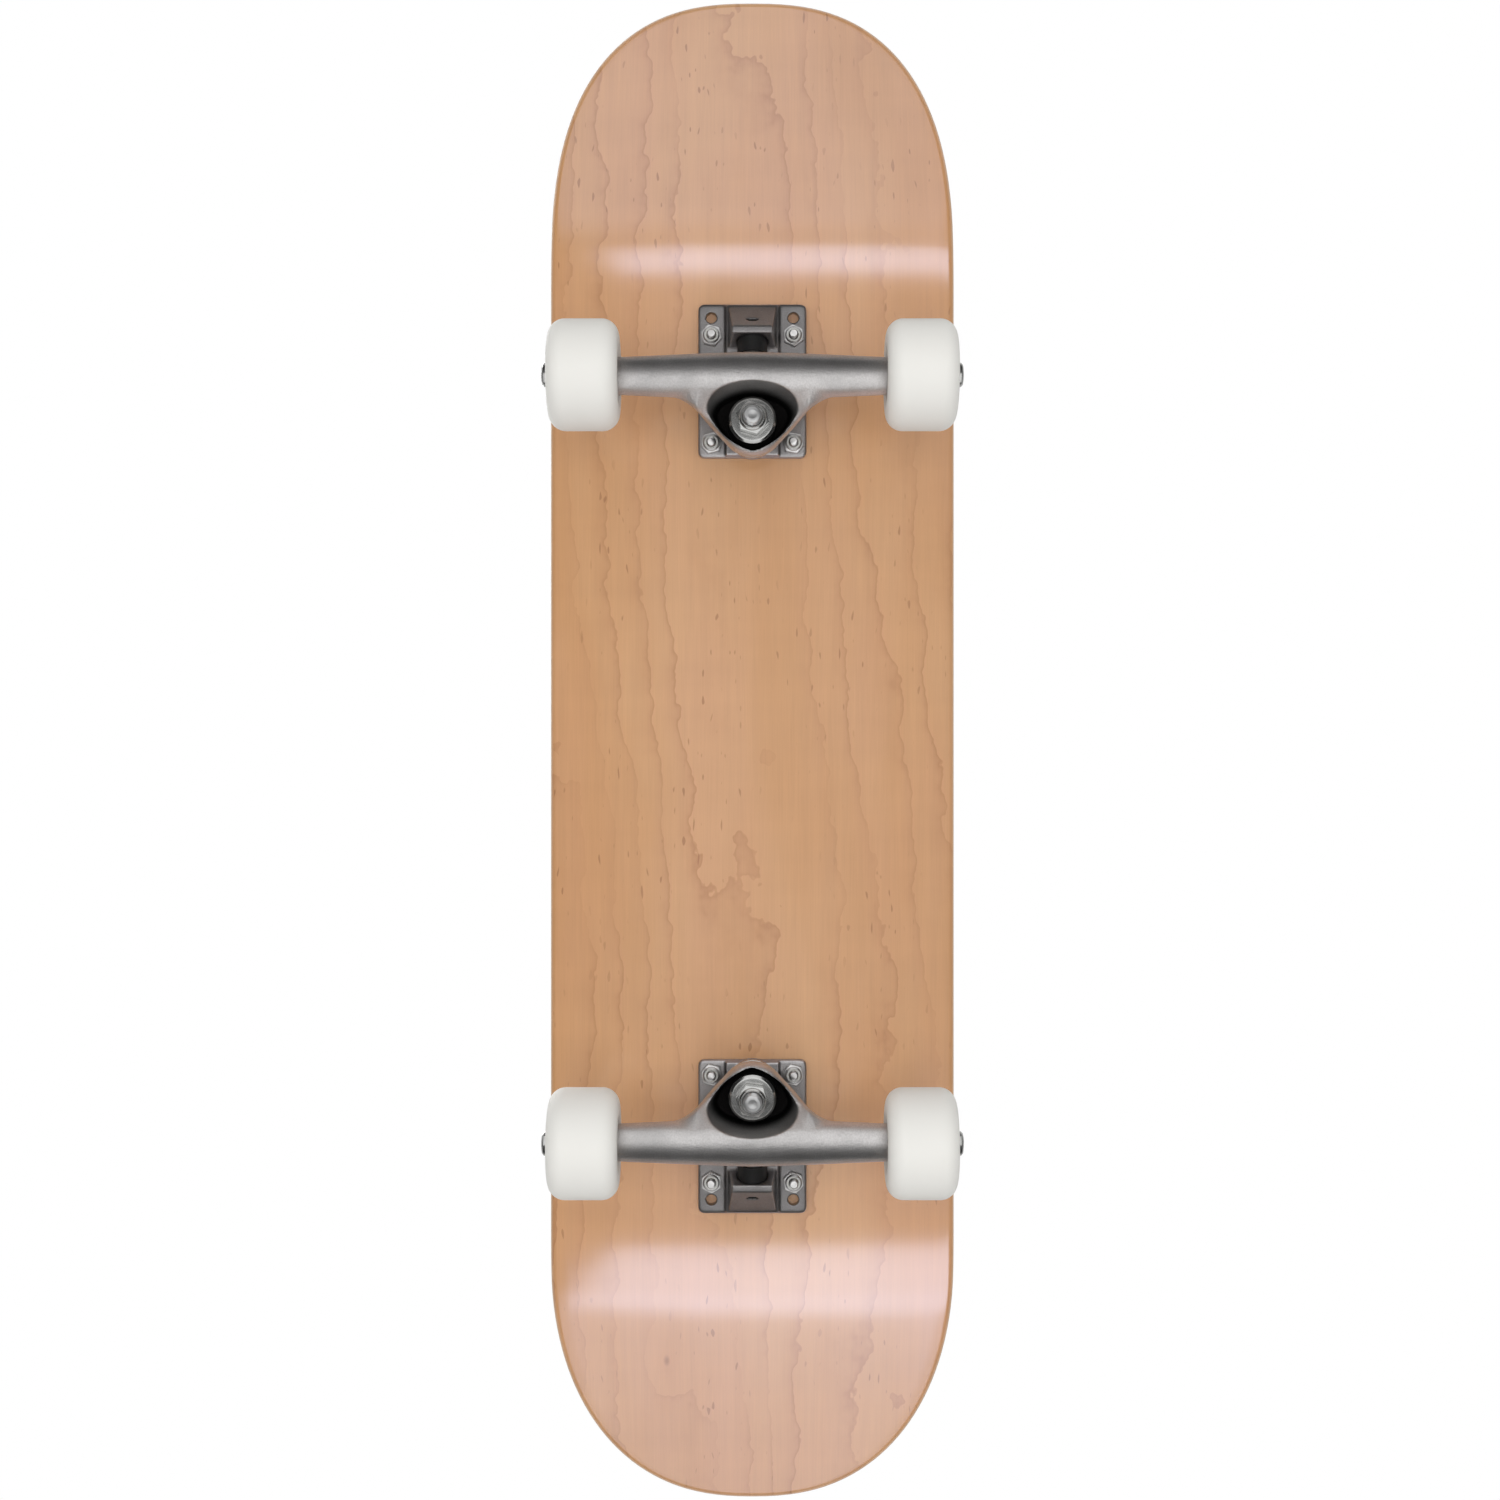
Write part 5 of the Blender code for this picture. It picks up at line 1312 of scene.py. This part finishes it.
class SKATE_OT_bearings(bpy.types.Operator):
    """Build the bearings, spacers, speed washers and axle nuts"""
    bl_idname = "skate.bearings"
    bl_label = "Bearings and axle nuts"

    def execute(self, context):
        bearing = bearing_shape()
        reach = SPACER_LENGTH / 2 - 0.1 * MM
        spacer = finished(turned_ring(SPACER_RADIUS, SPACER_BORE, -reach, reach, 36, 0.2 * MM), "spacer")
        washer = finished(turned_ring(SPEED_RING_RADIUS, AXLE_RADIUS + 0.15 * MM, 0.0, SPEED_RING, 40, 0.25 * MM),
                          "speed_washer")
        nut = two_finish(*locknut(AXLE_HEX, AXLE_RADIUS + 0.1 * MM, 0.0, AXLE_NUT_HEIGHT), "axle_nut")
        steel, nylon = finish_for("washer_steel"), finish_for("nut_nylon")
        races = [finish_for("bearing_steel"), finish_for("bearing_shield")]
        face = SPACER_LENGTH / 2 + BEARING_WIDTH
        for (end, side), degrees in AXLE_NUT_TURNS.items():
            place, at = f"{end}_{side}", wheel_frame(end, side)
            for which, start in (("inner", -face), ("outer", SPACER_LENGTH / 2)):
                add_piece(f"{place}_{which}_bearing_608", bearing, races, at @ Matrix.Translation((0, 0, start)),
                          f"{place}_wheel", (f"{place}_{which}_bearing",))
            add_piece(f"{place}_bearing_spacer", spacer, [steel], at, f"{end}_hanger", ())
            add_piece(f"{place}_outer_speed_ring", washer, [steel], at @ Matrix.Translation((0, 0, face + GAP)),
                      f"{end}_hanger", (f"{place}_speed_washer",))
            add_piece(f"{place}_inner_speed_ring", washer, [steel],
                      at @ Matrix.Translation((0, 0, -face - SPEED_RING - 0.15 * MM)), f"{end}_hanger", ())
            start = face + 2 * GAP + SPEED_RING
            spin = Matrix.Rotation(math.radians(degrees), 4, "Z")
            add_piece(f"{place}_axle_locknut", nut, [steel, nylon], at @ Matrix.Translation((0, 0, start)) @ spin,
                      f"{end}_hanger", (f"{place}_axle_nut",))
        return {"FINISHED"}


class SKATE_OT_mounting(bpy.types.Operator):
    """Set the eight bolts and lock nuts that hold the trucks"""
    bl_idname = "skate.mounting"
    bl_label = "Mounting hardware"

    def execute(self, context):
        points = bolt_points()
        plated, nylon = finish_for("bolt_plated_steel"), finish_for("nut_nylon")
        names = [f"{row}_{side}" for row in ("inner", "outer") for side in SIDES]
        bolts = set_on_points("bolts", bolt_shape(), points, THICKNESS - GAP, math.tau, plated, 35.0)
        add_piece("mounting_bolts", bolts, [plated], None, "deck",
                  [f"{end}_mount_bolt_{name}" for end in ENDS for name in names])
        steel, ring = locknut(MOUNT_HEX, BOLT_RADIUS + 0.1 * MM, 0.0, MOUNT_NUT_HEIGHT)
        height = -PLATE_THICKNESS - GAP
        nuts = set_on_points("nuts", moved(steel, FLIP), points, height, math.tau, plated)
        add_piece("mounting_locknuts", nuts, [plated], None, "deck",
                  [f"{end}_mount_nut_{name}" for end in ENDS for name in names])
        rings = set_on_points("rings", moved(ring, FLIP), points, height, math.tau, nylon)
        add_piece("mounting_nut_inserts", rings, [nylon], None, "deck", ())
        return {"FINISHED"}


def soft_light(name, target, direction, distance, size, power, diffuse=True, glossy=True, slant=0.0,
               only=None, colour=(1.0, 1.0, 1.0)):
    """Area light on the given direction from the target, facing it, its first side across the board."""
    data = bpy.data.lights.new(name, "AREA")
    data.shape, data.size, data.size_y, data.energy = "RECTANGLE", size[0], size[1], power
    data.color = colour
    obj = added(name, data)
    out = Vector(direction).normalized()
    obj.location = Vector(target) + out * distance
    across = (Vector((0, 1, 0)) - out * out.y).normalized()
    along = out.cross(across)
    obj.rotation_mode = "QUATERNION"
    turned_to = Matrix((across, along, out)).transposed() @ Matrix.Rotation(slant, 3, "Z")
    obj.rotation_quaternion = turned_to.to_quaternion()
    obj.visible_camera = False
    obj.visible_diffuse, obj.visible_glossy = diffuse, glossy
    if only:
        obj.light_linking.receiver_collection = light_group(only)


def studio_world():
    """White backdrop that lights the board softly, dimmer near the horizon."""
    world = bpy.data.worlds.new("studio")
    bpy.context.scene.world = world
    world.use_nodes = True
    nodes, links = world.node_tree.nodes, world.node_tree.links
    nodes.clear()
    output = nodes.new("ShaderNodeOutputWorld")
    mix = nodes.new("ShaderNodeMixShader")
    rays = nodes.new("ShaderNodeLightPath")
    place = nodes.new("ShaderNodeTexCoord")
    split = nodes.new("ShaderNodeSeparateXYZ")
    ramp = nodes.new("ShaderNodeValToRGB")
    spread = nodes.new("ShaderNodeMapRange")
    spread.inputs["From Min"].default_value = -1.0
    light, seen = nodes.new("ShaderNodeBackground"), nodes.new("ShaderNodeBackground")
    stops = ramp.color_ramp.elements
    stops[0].position, stops[0].color = 0.0, (0.18, 0.18, 0.18, 1.0)
    stops[1].position, stops[1].color = 1.0, (0.95, 0.95, 0.95, 1.0)
    for position, level in ((0.06, 0.18), (0.25, 0.05), (0.40, 0.03), (0.50, 0.05), (0.60, 0.30), (0.75, 0.70)):
        stops.new(position).color = (level, level, level, 1.0)
    for start, end in ((place.outputs["Generated"], split.inputs[0]), (split.outputs["Z"], spread.inputs["Value"]),
                       (spread.outputs[0], ramp.inputs[0]), (ramp.outputs[0], light.inputs[0]),
                       (rays.outputs["Is Camera Ray"], mix.inputs[0]), (light.outputs[0], mix.inputs[1]),
                       (seen.outputs[0], mix.inputs[2]), (mix.outputs[0], output.inputs[0])):
        links.new(start, end)
    seen.inputs[0].default_value = (1.0, 1.0, 1.0, 1.0)


class SKATE_OT_stage(bpy.types.Operator):
    """Lay the pale floor and set the soft lights and the camera under the board"""
    bl_idname = "skate.stage"
    bl_label = "Stage"

    def execute(self, context):
        look = context.scene.skate_stage
        context.scene.view_settings.view_transform = "Standard"
        # the floor shows from above only, so the board can be looked at from straight below
        f = Finish("stage_floor")
        mottle = f.noise(f.place, 6.0, 3.0) - 0.5
        f.paint(Base_Color=f.mix(mottle * 0.06 + 0.03, look.floor_colour, shade(look.floor_colour, 0.9)),
                Roughness=0.7)
        clear = f.node("ShaderNodeBsdfTransparent")
        back = f.node("ShaderNodeNewGeometry", output="Backfacing")
        sheet = f.node("ShaderNodeMixShader", {}, {0: back, 1: Term(f, f.shader.outputs[0]), 2: clear})
        output = next(node for node in f.tree.nodes if node.type == "OUTPUT_MATERIAL")
        f.tree.links.new(sheet.socket, output.inputs[0])
        mesh = bpy.data.meshes.new("floor")
        reach = 6.0
        mesh.from_pydata([(-reach, -reach, 0), (reach, -reach, 0), (reach, reach, 0), (-reach, reach, 0)], [],
                         [(0, 1, 2, 3)])
        mesh.materials.append(f.material)
        floor = added("studio_floor", mesh)
        floor.visible_diffuse = floor.visible_glossy = floor.visible_shadow = False
        studio_world()
        middle = (0.0, 0.0, UNDERSIDE_Z)
        soft_light("front_fill", middle, (0, 0, -1), FILL_DISTANCE, FILL_SIZE, look.fill_light, glossy=False)
        for name, x, y in (("left", 0, 1), ("right", 0, -1), ("nose", 1, 0), ("tail", -1, 0)):
            soft_light(f"{name}_fill", middle, (x * FILL_OUT, y * FILL_OUT, -FILL_DOWN), FILL_DISTANCE, FILL_SIZE,
                       look.side_light, glossy=False)
        for name, turn, lean, size, power, slant in (
                ("nose_gloss", 0.60, 0.22, (3.2, 0.46), look.nose_light, 0.05),
                ("tail_gloss", -0.74, 0.18, (3.2, 1.25), look.tail_light, -0.04),
                ("nose_sheen", 1.05, 0.0, (3.0, 1.1), look.sheen_light, 0.0),
                ("tail_sheen", -1.08, 0.0, (3.0, 1.1), look.sheen_light, 0.0)):
            soft_light(name, middle, (math.sin(turn), lean, -math.cos(turn)), GLOSS_DISTANCE, size, power,
                       diffuse=False, slant=slant, only="board", colour=GLOSS_COLOUR)
        for end in ENDS:
            place = truck_frame(end) @ Vector((AXLE_U, 0, AXLE_H))
            inward = -math.copysign(TRUCK_LIGHT_IN, place.x)
            soft_light(f"{end}_truck_light", place, (inward, 0, -TRUCK_LIGHT_DOWN), TRUCK_LIGHT_DISTANCE, (0.9, 1.5),
                       look.truck_light, diffuse=False, only=end)
        soft_light("above", middle, (0.35, -0.5, 1.0), 2.6, (1.6, 1.6), look.top_light)
        data = bpy.data.cameras.new("camera")
        data.lens, data.sensor_width = look.lens, CAMERA_SENSOR
        camera = added("camera", data)
        up_from_below = Matrix(((0, 1, 0), (1, 0, 0), (0, 0, -1))).to_4x4()
        camera.matrix_world = Matrix.Translation((*CAMERA_SHIFT, UNDERSIDE_Z - CAMERA_DISTANCE)) @ up_from_below
        context.scene.camera = camera
        return {"FINISHED"}


class SKATE_PT_panel(bpy.types.Panel):
    """Sidebar panel with the settings and the pieces"""
    bl_idname = "SKATE_PT_panel"
    bl_label = "Skateboard"
    bl_space_type = "VIEW_3D"
    bl_region_type = "UI"
    bl_category = "Skateboard"

    def draw(self, context):
        for name in SETTINGS:
            settings = getattr(context.scene, name)
            box = self.layout.box()
            for key in settings.__annotations__:
                box.prop(settings, key)
        column = self.layout.column(align=True)
        for operator in OPERATORS:
            column.operator(operator.bl_idname)


SETTINGS = {
    "skate_deck": SkateDeckSettings,
    "skate_truck": SkateTruckSettings,
    "skate_wheel": SkateWheelSettings,
    "skate_hardware": SkateHardwareSettings,
    "skate_stage": SkateStageSettings,
}
OPERATORS = (SKATE_OT_stage, SKATE_OT_deck, SKATE_OT_grip, SKATE_OT_baseplates, SKATE_OT_kingpins,
             SKATE_OT_bushings, SKATE_OT_hangers, SKATE_OT_wheels, SKATE_OT_bearings, SKATE_OT_mounting)


def register():
    for cls in (*SETTINGS.values(), *OPERATORS, SKATE_PT_panel):
        bpy.utils.register_class(cls)
    for name, cls in SETTINGS.items():
        setattr(bpy.types.Scene, name, PointerProperty(type=cls))


def unregister():
    for name in SETTINGS:
        delattr(bpy.types.Scene, name)
    for cls in (SKATE_PT_panel, *reversed(OPERATORS), *reversed(SETTINGS.values())):
        bpy.utils.unregister_class(cls)


def main():
    register()
    for operator in OPERATORS:
        group, name = operator.bl_idname.split(".")
        if getattr(getattr(bpy.ops, group), name)() != {"FINISHED"}:
            raise RuntimeError(f"{operator.bl_label} wasn't finished")


if __name__ == "__main__":
    main()
